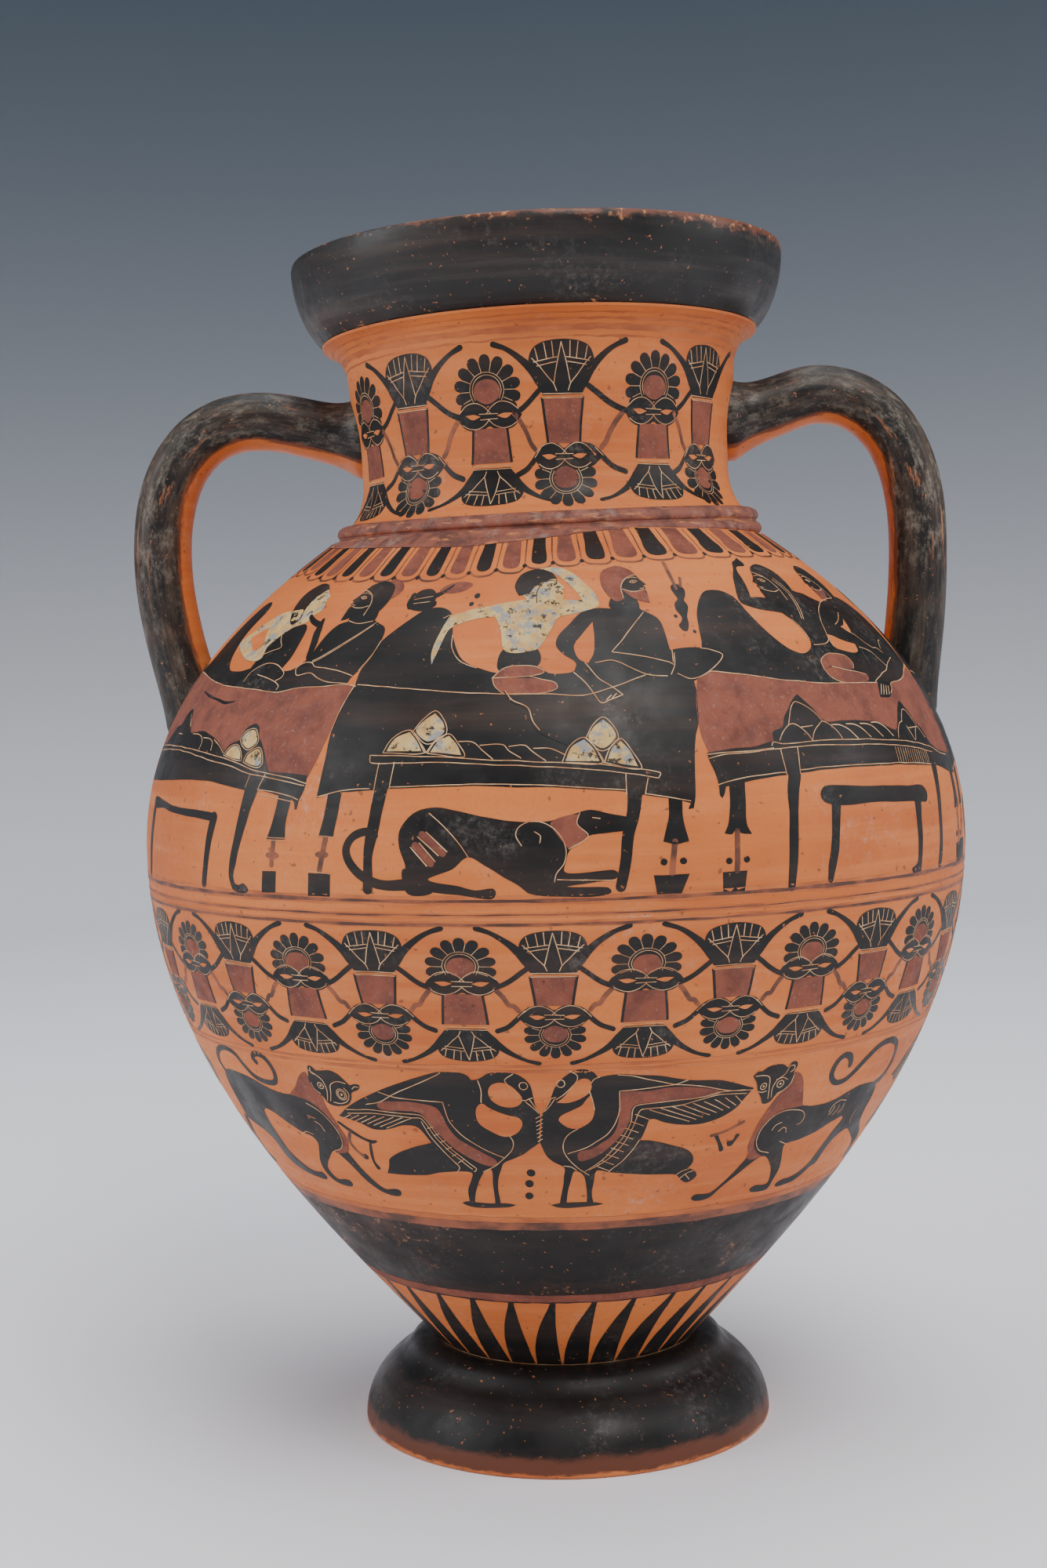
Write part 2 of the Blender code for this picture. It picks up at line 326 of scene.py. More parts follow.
def incision_material():
    n = Nodes("incised_clay")
    cloud = n.ramp(n.noise(5, 3, 0.6), 0.35, 0.68)
    return n.done(n.mix(cloud, (0.46, 0.210, 0.095), (0.70, 0.45, 0.24)), 0.7, None, 0.2)


def mouth_material():
    """The black mouth: wheel-brushed grey streaks, rubbed to brown along its rim, chipped below."""
    n = Nodes("mouth_gloss")
    colour = slip_colour(n, 0.01)
    brushed = n.ramp(n.noise(12, 5, 0.7, (0.12, 0.12, 3.0)), 0.46, 0.72, 0.0, 0.36)
    colour = n.mix(brushed, colour, (0.075, 0.062, 0.050))
    shift = n.math("MULTIPLY", n.math("SUBTRACT", n.noise(7, 4, 0.7, (1, 1, 2)), 0.5), 0.010)
    up = n.math("ADD", n.height(), shift)
    rubbed = n.ramp(up, 0.3980, 0.4004, 0.0, 0.90)
    colour = n.mix(rubbed, colour, (0.170, 0.058, 0.032))
    crumbs = n.math("MULTIPLY", n.ramp(up, 0.3962, 0.4014), n.ramp(n.noise(2.6, 3, 0.6), 0.58, 0.66))
    colour = n.mix(crumbs, colour, (0.50, 0.22, 0.095))
    flakes = n.ramp(n.noise(3.4, 4, 0.7, (0.6, 0.6, 2)), 0.59, 0.66)
    chipped = n.math("MULTIPLY", n.ramp(up, 0.3770, 0.3735), flakes)
    colour = n.mix(chipped, colour, (0.50, 0.20, 0.080))
    return slip_finish(n, colour, 0.34)


def foot_material():
    """The black foot, worn to reddish brown towards the resting edge, which is bare clay."""
    n = Nodes("foot_gloss")
    shift = n.math("MULTIPLY", n.math("SUBTRACT", n.noise(11, 4, 0.65, (1, 1, 3)), 0.5), 0.006)
    up = n.math("ADD", n.height(), shift)
    colour = n.mix(n.ramp(up, 0.0052, 0.0082), (0.128, 0.042, 0.022), slip_colour(n, 0.02))
    colour = n.mix(n.ramp(up, 0.0008, 0.0022), clay_colour(n), colour)
    return slip_finish(n, colour)


def ring_material():
    """The moulding under the neck: worn purple-red over black, with a pale bloom in its hollows."""
    n = Nodes("ring_red")
    colour = n.mix(n.ramp(n.noise(7, 4, 0.65), 0.34, 0.60), (0.110, 0.044, 0.034), (0.250, 0.085, 0.056))
    bare = n.ramp(n.noise(5.4, 5, 0.7, (0.5, 0.5, 2.4)), 0.56, 0.64, 0.0, 0.85)
    colour = n.mix(bare, colour, (0.50, 0.175, 0.070))
    bloom = n.ramp(n.noise(9, 5, 0.75), 0.50, 0.72, 0.0, 0.55)
    colour = n.mix(bloom, colour, (0.33, 0.25, 0.22))
    return n.done(colour, 0.66, n.bump(n.noise(1.1, 4), 0.12, 0.8), 0.35)


def handle_material():
    """Black outside, with the side that faces the neck left in clay. The brush ran along the handle, and
    hands have rubbed its back to brown and dusty grey."""
    n = Nodes("handle_gloss")
    along = n.attribute("along", "Vector")
    streaks = n.noise(5, 5, 0.7, (0.16, 1, 1), along)
    edge = n.math("ADD", n.attribute("bare"), n.math("MULTIPLY", n.math("SUBTRACT", streaks, 0.5), 0.55))
    black = slip_colour(n, 0.015)
    worn = n.ramp(n.noise(4, 5, 0.7, (0.10, 1, 1), along), 0.44, 0.70, 0.0, 0.75)
    black = n.mix(worn, black, (0.100, 0.066, 0.045))
    stripped = n.ramp(n.noise(3.4, 5, 0.72, (0.14, 1, 1), along), 0.57, 0.64, 0.0, 0.75)
    stripped = n.math("MULTIPLY", stripped, n.ramp(n.attribute("handled"), 0.2, 0.8))
    black = n.mix(stripped, black, (0.42, 0.15, 0.062))
    dust = n.ramp(n.noise(3.6, 6, 0.82, (0.5, 1, 1), along), 0.46, 0.68, 0.0, 0.62)
    dust = n.math("MULTIPLY", dust, n.ramp(n.attribute("handled"), 0.0, 1.0, 0.25, 1.0))
    black = n.mix(dust, black, (0.31, 0.27, 0.21))
    brown = n.mix(n.ramp(edge, 0.60, 0.68), black, (0.19, 0.060, 0.030))
    return slip_finish(n, n.mix(n.ramp(edge, 0.69, 0.76), brown, clay_colour(n)))


FINISHES = {
    "clay": (clay_material, "painted_clay"),
    "black": (black_material, "black_slip"),
    "red": (red_material, "red_slip"),
    "cream": (cream_material, "painted_clay"),
    "brown": (brown_material, "black_slip"),
    "worn": (worn_material, "black_slip"),
    "wash": (wash_material, "painted_clay"),
    "scratch": (incision_material, "painted_clay"),
    "mouth": (mouth_material, "black_slip"),
    "foot": (foot_material, "black_slip"),
    "ring": (ring_material, "red_slip"),
    "handle": (handle_material, "black_slip"),
}
made_materials = {}


def material(finish):
    if finish not in made_materials:
        made_materials[finish] = FINISHES[finish][0]()
    return made_materials[finish]


# ---------------------------------------------------------------- thrown walls and handles

def add_piece(name, mesh, finish, *nodes):
    """Links a mesh, already in metres, as a piece of the vase that stands for these CAD nodes."""
    mesh.materials.append(material(finish))
    obj = bpy.data.objects.new(name, mesh)
    bpy.context.scene.collection.objects.link(obj)
    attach(obj, "root")
    if nodes:
        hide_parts(*nodes)
    return obj


def mesh_from(name, points, faces):
    """A smooth-shaded mesh from points in millimetres."""
    mesh = bpy.data.meshes.new(name)
    mesh.from_pydata([Vector(point) * MM for point in points], [], faces)
    mesh.shade_smooth()
    return mesh


def turned(name, outline, finish, *nodes, carry=tuple, turns=TURNS):
    """Turns a closed outline about the axis, and carries each point to its place. Its corners stay sharp."""
    count = len(outline)
    points = []
    for turn in range(turns):
        angle = 2 * math.pi * turn / turns
        for radius, height in outline:
            point = (radius * math.sin(angle), -radius * math.cos(angle), height)
            points.append(carry(point))
    faces = []
    for turn in range(turns):
        here, there = turn * count, (turn + 1) % turns * count
        for i in range(count):
            j = (i + 1) % count
            faces.append((here + i, there + i, there + j, here + j))
    mesh = mesh_from(name, points, faces)
    mesh.set_sharp_from_angle(angle=math.radians(40))
    return add_piece(name, mesh, finish, *nodes)


def make_walls():
    """The body with its floor, the neck, the moulding between them, and the mouth."""
    inside = [(r - BODY_WALL_THICKNESS, z) for r, z in BODY_OUTLINE if 47 < z < 299][::-1]
    seat = [(60.5, 303.7)]
    floor = [(26.0, 39.0), (0.4, 39.0), (0.4, 29.6)]
    turned("body_wall", BODY_OUTLINE + seat + inside + floor, "clay", "body")

    neck_bore = [(61.2, 372.4), (60.4, 362.0), (59.0, 350.0), (56.8, 332.0), (56.8, 325.0), (60.0, 304.0)]
    neck_side = [(66.5, 304.0)] + NECK_OUTLINE + [(74.4, 372.6)]
    turned("neck_wall", neck_side + neck_bore, "clay", "neck", carry=leaned)

    ring = [(64.0, 298.6), (70.8, 298.6), (71.2, 302.4)]
    ring += curve((72.2, 303.0), (74.2, 304.0), (73.6, 306.4), (71.7, 307.2), 10)
    ring += curve((71.6, 307.9), (72.9, 308.4), (72.6, 311.0), (70.2, 311.8), 14)
    ring += curve((69.6, 312.0), (68.0, 312.2), (66.8, 312.4), (66.0, 313.0), 6)
    ring += [(64.0, 313.0)]
    turned("ring_wall", ring, "ring", "neck_ring", carry=slumped)

    outside = [(72.6, 372.2)] + curve((74.2, 372.8), (79.3, 377.2), (83.8, 387.4), (83.8, 398.0), 30)
    rim = [(83.4, 399.4), (82.2, 400.0), (75.0, 400.0), (73.5, 399.2)]
    mouth_inside = curve((73.3, 398.0), (72.0, 389.0), (66.0, 379.0), (61.2, 372.8), 18)
    turned("mouth_wall", outside + rim + mouth_inside, "mouth", "mouth", carry=leaned)


def make_foot():
    """A stepped collar, a crease, a quarter-ellipse flare, the toe, and the hollow underneath."""
    collar = [
        (34.0, 29.3), (46.0, 29.4), (50.2, 29.0), (52.6, 28.0), (54.0, 26.7), (54.9, 25.3), (56.0, 24.0),
    ]
    middle, base = FOOT_FLARE
    crease = math.asin(21.9 / FOOT_FLARE_WIDE)
    flare = []
    for step in range(33):
        turn = crease + (math.pi / 2 - crease) * step / 32
        radius = middle + FOOT_FLARE_WIDE * math.sin(turn)
        flare.append((radius, base + FOOT_FLARE_TALL * math.cos(turn)))
    toe = [(70.5, 0.6), (70.0, 0.15), (69.4, 0.0), (59.0, 0.0), (57.6, 0.6)]
    hollow = curve((57.2, 1.2), (53.0, 10.0), (40.0, 16.0), (34.0, 23.0), 12)
    turned("foot_wall", collar + flare + toe + hollow, "foot", "foot")


def handle_line(side):
    """The middle line of a handle, with the share of the neck's lean that each point takes."""
    reach = HANDLE_REACH[side]
    line = joined(
        curve((57.0, 342.6), (76.0, 343.0), (86.0, 349.8), (reach - 33.7, 349.8), 30),
        curve((reach - 33.7, 349.8), (reach - 12.7, 349.8), (reach, 332.0), (reach, 302.0), 30),
        curve((reach, 302.0), (reach, 276.0), (123.9, 251.0), (117.5, 230.0), 36),
    )
    points = []
    for i, (radius, height) in enumerate(line):
        share = min(1.0, max(0.0, (height - 245.0) / 90.0)) if i > 40 else 1.0
        points.append(leaned((side * radius, 0.0, height), share))
    return points


def handle_girth(point):
    """The half width of the handle: even, and spreading where it was luted to the wall."""
    off_neck = max(0.0, abs(point.x) - 64.0) if point.z > 320 else 60.0
    off_body = max(0.0, point.z - 246.0)
    return HANDLE_GIRTH + 4.6 * math.exp(-off_neck / 5.0) + 1.9 * math.exp(-off_body / 8.0)


def make_handle(side_name, side):
    """A pulled bar, a little flattened, worked on to the neck and the shoulder."""
    line = handle_line(side)
    sides = HANDLE_SIDES
    points = []
    bare = []
    handled = []
    along = []
    travelled = 0.0
    for i, here in enumerate(line):
        ahead = (line[min(i + 1, len(line) - 1)] - line[max(i - 1, 0)]).normalized()
        travelled += (here - line[max(i - 1, 0)]).length
        across = Vector((0.0, 1.0, 0.0))
        outward = across.cross(ahead).normalized() * -side
        girth = handle_girth(here)
        for step in range(sides):
            angle = 2 * math.pi * step / sides
            wavy = 1.0 + 0.018 * noise.noise(Vector((angle, travelled * 0.05, side * 5.0)))
            offset = outward * math.cos(angle) * girth * 0.98 + across * math.sin(angle) * girth * 1.03
            point = here + offset * wavy
            flat = math.hypot(point.x, point.y)
            if point.z < 300:
                wall = radius_at(BODY_OUTLINE, point.z) - 2.0
            else:
                wall = radius_at(NECK_OUTLINE, point.z) - 3.0
            if flat < wall:
                point.x *= wall / flat
                point.y *= wall / flat
            points.append(point)
            narrowed = 0.0
            if side > 0:
                narrowed = 0.06 + 0.14 * min(1.0, max(0.0, (335.0 - here.z) / 30.0))
            bare.append(-math.cos(angle) - narrowed)
            bend = math.exp(-(((here.z - 322.0) / 30.0) ** 2))
            if side < 0:
                bend = 0.30 + 0.30 * bend
            handled.append(bend)
            along.append((travelled * MM, math.cos(angle) * 0.010, math.sin(angle) * 0.010))
    faces = []
    for i in range(len(line) - 1):
        for step in range(sides):
            turn = (step + 1) % sides
            corners = (i * sides + step, i * sides + turn, (i + 1) * sides + turn, (i + 1) * sides + step)
            faces.append(corners if side < 0 else corners[::-1])
    start = tuple(range(sides))
    end = tuple(range(len(points) - sides, len(points)))
    faces += [start[::-1], end] if side < 0 else [start, end[::-1]]
    mesh = mesh_from(side_name + "_handle_bar", points, faces)
    mesh.attributes.new("bare", "FLOAT", "POINT").data.foreach_set("value", bare)
    mesh.attributes.new("handled", "FLOAT", "POINT").data.foreach_set("value", handled)
    flat_along = [number for vector in along for number in vector]
    mesh.attributes.new("along", "FLOAT_VECTOR", "POINT").data.foreach_set("vector", flat_along)
    nodes = [side_name + "_handle" + part for part in ("", "_upper_luting", "_lower_luting")]
    add_piece(side_name + "_handle_bar", mesh, "handle", *nodes)


# ---------------------------------------------------------------- painting

def smooth(points, step, closed):
    """A curve through the points as closely spaced points. A point with a third value is a corner."""
    count = len(points)
    spans = count if closed else count - 1
    result = []
    for i in range(spans):
        here, there = Vector(points[i][:2]), Vector(points[(i + 1) % count][:2])
        chord = (there - here).length
        if chord < 1e-6:
            continue
        slopes = []
        for j, knot in ((i, here), ((i + 1) % count, there)):
            end = not closed and j in (0, count - 1)
            if len(points[j]) > 2 or end:
                slopes.append(there - here)
                continue
            before, after = Vector(points[j - 1][:2]), Vector(points[(j + 1) % count][:2])
            reach = (knot - before).length + (after - knot).length
            slopes.append((after - before) * chord / max(reach, 1e-6))
        steps = max(1, math.ceil(chord / step))
        for k in range(steps):
            t = k / steps
            result.append(
                here * (2 * t**3 - 3 * t**2 + 1)
                + slopes[0] * (t**3 - 2 * t**2 + t)
                + there * (3 * t**2 - 2 * t**3)
                + slopes[1] * (t**3 - t**2)
            )
    if not closed:
        result.append(Vector(points[-1][:2]))
    return result


def inside_polygon(points, outline):
    """Which of the points lie inside the outline, by the even-odd rule."""
    x, y = points[:, 0][:, None], points[:, 1][:, None]
    x0, y0 = outline.T
    x1, y1 = np.roll(outline, -1, axis=0).T
    with np.errstate(divide="ignore", invalid="ignore"):
        crossing = x0 + (y - y0) * (x1 - x0) / (y1 - y0)
    return (((y0 > y) != (y1 > y)) & (x < crossing)).sum(axis=1) % 2 == 1


class Wall:
    """A turned wall as a surface to paint on."""

    def __init__(self, outline, reference, lean, grain, hidden=0.0):
        self.line = np.array(outline)
        steps = np.linalg.norm(np.diff(self.line, axis=0), axis=1)
        self.up = np.concatenate(([0.0], np.cumsum(steps))) - hidden
        slope = np.gradient(self.line, self.up, axis=0)
        self.out = np.column_stack((slope[:, 1], -slope[:, 0]))
        self.out /= np.linalg.norm(self.out, axis=1)[:, None]
        self.reference = reference
        self.grain = grain
        self.foot = np.array((0.0, 0.0, LEAN_HEIGHT))
        self.turn = np.array([leaned(self.foot + axis, lean) - Vector(self.foot) for axis in np.eye(3)])
        self.leans = lean > 0

    def place(self, points, lift):
        """Places and normals, in space, of (along, up) points lifted off the wall."""
        along, up = np.asarray(points, float).T
        angle = along / self.reference
        radius, height = (np.interp(up, self.up, self.line[:, i]) for i in (0, 1))
        out_radius, out_height = (np.interp(up, self.up, self.out[:, i]) for i in (0, 1))
        radius = radius + out_radius * lift
        height = height + out_height * lift
        places = np.column_stack((radius * np.sin(angle), -radius * np.cos(angle), height))
        normals = np.column_stack((out_radius * np.sin(angle), -out_radius * np.cos(angle), out_height))
        if self.leans:
            places = (places - self.foot) @ self.turn + self.foot
            normals = normals @ self.turn
        return places, normals


class Picture:
    """Shapes painted on one wall, gathered into one skin for each finish. Later levels lie on earlier ones."""

    def __init__(self, name, wall, waver=0.22):
        self.name = name
        self.wall = wall
        self.waver = waver
        self.sheets = {}
        self.move(0.0, 0.0)

    def move(self, along, up, wide=1.0, tall=1.0, slant=0.0):
        """Where the next shapes' own origin lies on the wall, and how they are stretched and leant."""
        self.origin = (along, up, wide, tall, slant)

    def on_wall(self, points):
        along, up, wide, tall, slant = self.origin
        placed = []
        for x, y in points:
            u = along + x * wide + y * slant
            v = up + y * tall
            shake = noise.noise_vector(Vector((u * 0.16, v * 0.16, 3.7))) * self.waver
            placed.append((u + shake.x, v + shake.y))
        return placed

    def wound(self, faces):
        """The faces, turned over where the next shapes are mirrored."""
        return [face[::-1] for face in faces] if self.origin[2] * self.origin[3] < 0 else faces

    def add(self, finish, points, faces, level):
        """One shape: its points on the wall, already in wall coordinates."""
        places, normals, all_faces, total = self.sheets.setdefault(finish, ([], [], [], [0]))
        new_places, new_normals = self.wall.place(points, SKIN + SKIN_STEP * level)
        places.append(new_places)
        normals.append(new_normals)
        all_faces += [[total[0] + i for i in face] for face in faces]
        total[0] += len(points)

    def fill(self, finish, outline, level=0):
        """A filled shape, given by points on its outline."""
        length = sum(math.dist(a[:2], b[:2]) for a, b in zip(outline, outline[1:]))
        step = min(1.4, max(0.3, length / 44))
        edge = self.on_wall([tuple(p) for p in smooth(outline, step, True)])
        ring = np.array(edge)
        low, high = ring.min(axis=0), ring.max(axis=0)
        grain = self.wall.grain
        grid = np.array(
            [
                (u + grain * 0.25 * (row % 2 * 2 - 1), v)
                for row, v in enumerate(np.arange(low[1] + grain * 0.5, high[1], grain * 0.87))
                for u in np.arange(low[0] + grain * 0.5, high[0], grain)
            ]
        ).reshape(-1, 2)
        if len(grid):
            grid = grid[inside_polygon(grid, ring)]
        if len(grid):
            gaps = np.linalg.norm(grid[:, None] - ring[None], axis=2).min(axis=1)
            grid = grid[gaps > grain * 0.3]
        verts = [Vector(p) for p in edge] + [Vector(p) for p in grid]
        found = delaunay_2d_cdt(verts, [], [list(range(len(edge)))], 1, 1e-5)
        self.add(finish, [tuple(v) for v in found[0]], [list(f) for f in found[2]], level)

    def line(self, finish, path, width, level=2, closed=False):
        """A brush or graver stroke. width is one number, or one for each point of the path."""
        count = len(path)
        knots = list(path) + [path[0]] if closed else list(path)
        widths = [width] * len(knots) if not hasattr(width, "__len__") else list(width)
        if closed and len(widths) < len(knots):
            widths.append(widths[0])
        step = 0.8 if count > 2 else self.wall.grain
        line = smooth([(*p, 1) if closed and i in (0, count) else p for i, p in enumerate(knots)], step, False)
        if len(line) < 2:
            return
        travelled = [0.0]
        for a, b in zip(line, line[1:]):
            travelled.append(travelled[-1] + (b - a).length)
        at_knots = [0.0]
        for a, b in zip(knots, knots[1:]):
            at_knots.append(at_knots[-1] + math.dist(a[:2], b[:2]))
        shares = np.array(travelled) / max(travelled[-1], 1e-6) * at_knots[-1]
        half = np.interp(shares, at_knots, widths) / 2
        centre, along, girth = [], [], []
        for i, point in enumerate(line):
            ahead = (line[min(i + 1, len(line) - 1)] - line[max(i - 1, 0)]).normalized()
            centre.append(point)
            along.append(ahead)
            girth.append(half[i])
        if not closed:
            caps = [(math.sin(t), math.cos(t)) for t in (1.35, 0.95, 0.5)]
            start = [(line[0] - along[0] * half[0] * s, along[0], half[0] * c) for s, c in caps]
            end = [(line[-1] + along[-1] * half[-1] * s, along[-1], half[-1] * c) for s, c in caps[::-1]]
            rows = start + list(zip(centre, along, girth)) + end
        else:
            rows = list(zip(centre, along, girth))
        points = []
        for point, ahead, reach in rows:
            side = Vector((-ahead.y, ahead.x)) * reach
            points += [tuple(point + side), tuple(point - side)]
        faces = [[2 * i, 2 * i + 1, 2 * i + 3, 2 * i + 2] for i in range(len(rows) - 1)]
        self.add(finish, self.on_wall(points), self.wound(faces), level)

    def dot(self, finish, centre, across, level=0, tall=1.0):
        """A round or oval dab."""
        ring = []
        for turn in range(12):
            angle = 2 * math.pi * turn / 12
            x = centre[0] + across / 2 * math.cos(angle)
            ring.append((x, centre[1] + across / 2 * tall * math.sin(angle)))
        self.add(finish, self.on_wall(ring), self.wound([list(range(12))]), level)

    def band(self, finish, low, high, level, ragged):
        """A stripe all the way round, between two heights up the wall, its edges ragged by that much."""
        around = 2 * math.pi * self.wall.reference
        steps = int(around / 2.2)
        rows = max(1, math.ceil((high - low) / self.wall.grain))
        points = []
        for i in range(steps + 1):
            u = around * i / steps
            bottom, top = low, high
            turn = Vector((math.sin(u / self.wall.reference), math.cos(u / self.wall.reference), 0)) * 14
            bottom += ragged * noise.noise(turn + Vector((0, 0, bottom)))
            top += ragged * noise.noise(turn + Vector((0, 0, top + 50)))
            points += [(u, bottom + (top - bottom) * row / rows) for row in range(rows + 1)]
        faces = []
        for i in range(steps):
            for row in range(rows):
                a = i * (rows + 1) + row
                faces.append([a, a + rows + 1, a + rows + 2, a + 1])
        self.add(finish, points, faces, level)

    def done(self):
        """Makes one piece for each finish that was used."""
        for finish, (places, normals, faces, _) in self.sheets.items():
            name = self.name + "_" + finish
            mesh = mesh_from(name, np.concatenate(places), faces)
            mesh.normals_split_custom_set_from_vertices(np.concatenate(normals))
            add_piece(name, mesh, finish)


BODY_WALL = Wall(BODY_OUTLINE, BODY_REFERENCE, 0.0, 3.0)
NECK_WALL = Wall(NECK_OUTLINE, NECK_REFERENCE, 1.0, 2.0, 4.8)


# ---------------------------------------------------------------- the banquet frieze

def scratches(p, *paths, width=0.42, level=3):
    """Incised lines, a little finer than their nominal width."""
    for path in paths:
        p.line("scratch", path, width * GRAVER, level)


def post(p, *knots, level=0, finish="black"):
    """A tapering leg, given by (along, up, width) at each height."""
    p.line(finish, [knot[:2] for knot in knots], [knot[2] for knot in knots], level)


def head(p, chin, size, facing, turn=0.0, skin="black", hair="black", beard=None, level=1, short=False):
    """A head in profile on the usual proportions: the eye halfway up, the nose and mouth below it."""
    cos, sin = math.cos(turn), math.sin(turn)
    radius = np.interp(chin[1] + size / 2, BODY_WALL.up, BODY_WALL.line[:, 0])
    stretch = BODY_REFERENCE / radius

    def at(points):
        moved = []
        for x, y, *corner in points:
            x, y = x * facing * size, y * size
            moved.append((chin[0] + (x * cos - y * sin) * stretch, chin[1] + x * sin + y * cos, *corner))
        return moved

    face = [
        (-0.24, -0.16, 1), (-0.30, 0.15), (-0.42, 0.50), (-0.33, 0.84), (-0.03, 0.99), (0.25, 0.88),
        (0.34, 0.66), (0.35, 0.60), (0.45, 0.40, 1), (0.37, 0.36, 1), (0.405, 0.29), (0.37, 0.24, 1),
        (0.39, 0.18), (0.35, 0.04), (0.20, -0.02), (0.08, 0.02), (0.10, -0.16, 1),
    ]
    p.fill(skin, at(face), level)
    mane = [
        (0.33, 0.72, 1), (0.24, 0.90), (-0.02, 1.04), (-0.36, 0.90), (-0.47, 0.52), (-0.40, 0.10),
        (-0.30, -0.06), (-0.14, 0.02), (-0.10, 0.34), (0.02, 0.56), (0.18, 0.68),
    ]
    if short:
        mane = [
            (0.35, 0.70, 1), (0.27, 0.90), (0.00, 1.05), (-0.34, 0.94), (-0.50, 0.62), (-0.44, 0.30, 1),
            (-0.24, 0.34), (-0.14, 0.48), (0.02, 0.60), (0.18, 0.68),
        ]
    p.fill(hair, at(mane), level + 1)
    mark = "black" if skin == "cream" else "scratch"
    if beard:
        chin_hair = [
            (0.36, 0.25, 1), (0.37, 0.08), (0.34, -0.16, 1), (0.20, -0.10), (0.02, 0.06), (-0.10, 0.30, 1),
            (0.06, 0.22), (0.22, 0.21),
        ]
        p.fill(beard, at(chin_hair), level + 1)
        p.line("scratch", at([(-0.08, 0.30), (0.06, 0.22), (0.22, 0.21), (0.35, 0.25)]), 0.30, level + 2)
    p.line(mark, at([
        (0.33, 0.72), (0.18, 0.68), (0.02, 0.56), (-0.10, 0.34), (-0.14, 0.04),
    ]), 0.34, level + 2)
    p.line(mark, at([(0.12, 0.50), (0.20, 0.55), (0.29, 0.52)]), 0.30, level + 2)
    p.line(mark, at([(0.12, 0.50), (0.20, 0.47), (0.29, 0.52)]), 0.30, level + 2)
    p.dot(mark, at([(0.205, 0.51)])[0], 0.7, level + 2)
    p.line(mark, at([(0.11, 0.62), (0.21, 0.65), (0.31, 0.62)]), 0.28, level + 2)
    p.line(mark, at([(0.36, 0.29), (0.28, 0.28)]), 0.28, level + 2)


def cake(p, outline):
    """A pointed cake in added white, with a black gap and an incised line round it."""
    middle = [sum(point[i] for point in outline) / len(outline) for i in (0, 1)]
    for finish, share in (("black", 1.0), ("cream", 0.84)):
        shape = []
        for x, y, *rest in outline:
            shape.append((middle[0] + (x - middle[0]) * share, middle[1] + (y - middle[1]) * share, *rest))
        p.fill(finish, shape, 2 if finish == "black" else 3)
    p.line("scratch", [point[:2] for point in outline], 0.26, 4, closed=True)


def couch_leg(p, top, flare, foot, dots=True):
    """A turned couch leg: a tapering block, a thin stem with two dots beside it, and a square base."""
    p.fill("black", top, 0)
    p.fill("black", foot, 0)
    p.line("brown", flare, 1.6, 0)
    if dots:
        middle = ((flare[0][0] + flare[-1][0]) / 2, flare[-1][1] + 3.2)
        p.dot("black", (middle[0] - 2.7, middle[1]), 2.0)
        p.dot("black", (middle[0] + 2.7, middle[1]), 2.0)


def hound(p):
    """A hound lying under the couch."""
    body = [
        (-1, 216.5), (-10, 216.5), (-20, 218), (-30, 220.5), (-35, 220.5), (-39, 219), (-42, 216),
        (-43.3, 213), (-43, 209), (-41.2, 204), (-42, 200, 1), (-43, 197, 1), (-27, 195.6), (-17.5, 194.3),
        (-16.2, 195.8), (-17, 197.5), (-22, 196.9), (-27, 198.2), (-35, 200), (-28, 203), (-23.5, 206.5),
        (-19, 204), (-14, 200.5), (-10.5, 198.5), (-7.5, 196, 1), (-5, 195.3), (5, 194.5), (13, 194.8),
        (15, 195.6), (14, 197), (3, 197.6), (10, 198.6), (16, 199.4), (17, 200.6), (15.5, 202), (6, 201.4),
        (2.5, 202), (3, 205), (4, 207.8), (9, 211.7), (14, 212.5), (21.5, 213.5), (22.2, 215.5), (20, 217),
        (15, 218), (10, 219.2), (7, 218.8),
    ]
    p.fill("black", body, 0)
    p.fill("black", [(-36, 200.5), (-42, 203), (-41, 196), (-34, 196)], 0)
    p.line("black", [
        (-41, 198.4), (-47, 198.2), (-52, 199.5), (-57, 203), (-59.3, 208), (-57.5, 212), (-53, 213.7),
        (-50.4, 212.4),
    ], [3.4, 3.0, 2.8, 2.6, 2.5, 2.4, 2.4, 2.0], 0)
    p.fill("red", [
        (-1, 216.2), (6.5, 218.2), (6, 215.5), (8.6, 211.7), (4, 208.4), (2, 210.5), (-0.6, 214.2),
    ], 1)
    for a, b in (((-38.5, 210), (-34, 204.5)), ((-36.6, 213), (-30.6, 207.4))):
        p.line("red", [a, b], 1.9, 1)
        for side in (-1.2, 1.2):
            p.line("scratch", [(a[0] + side, a[1] + side * 0.5), (b[0] + side, b[1] + side * 0.5)], 0.34, 2)
    scratches(
        p,
        [(-9, 209.5), (-10.5, 212.5), (-9.5, 215), (-6, 216.6), (-2, 215.5), (1.5, 212), (3, 208),
         (2.5, 204.5), (0.3, 201.5), (-0.3, 199)],
        [(-34.5, 219), (-30, 215), (-26, 210.5), (-23.5, 206.5)],
        [(3.8, 208.2), (9, 211.7), (6.2, 215.4), (6.9, 218.6)],
        [(0.5, 199.7), (8, 199.4), (16, 199)],
        [(10.4, 216.9), (12.4, 216.6)],
        [(-5.5, 213.4), (-4, 212.2), (-4.2, 210.2)],
        width=0.36,
        level=2,
    )


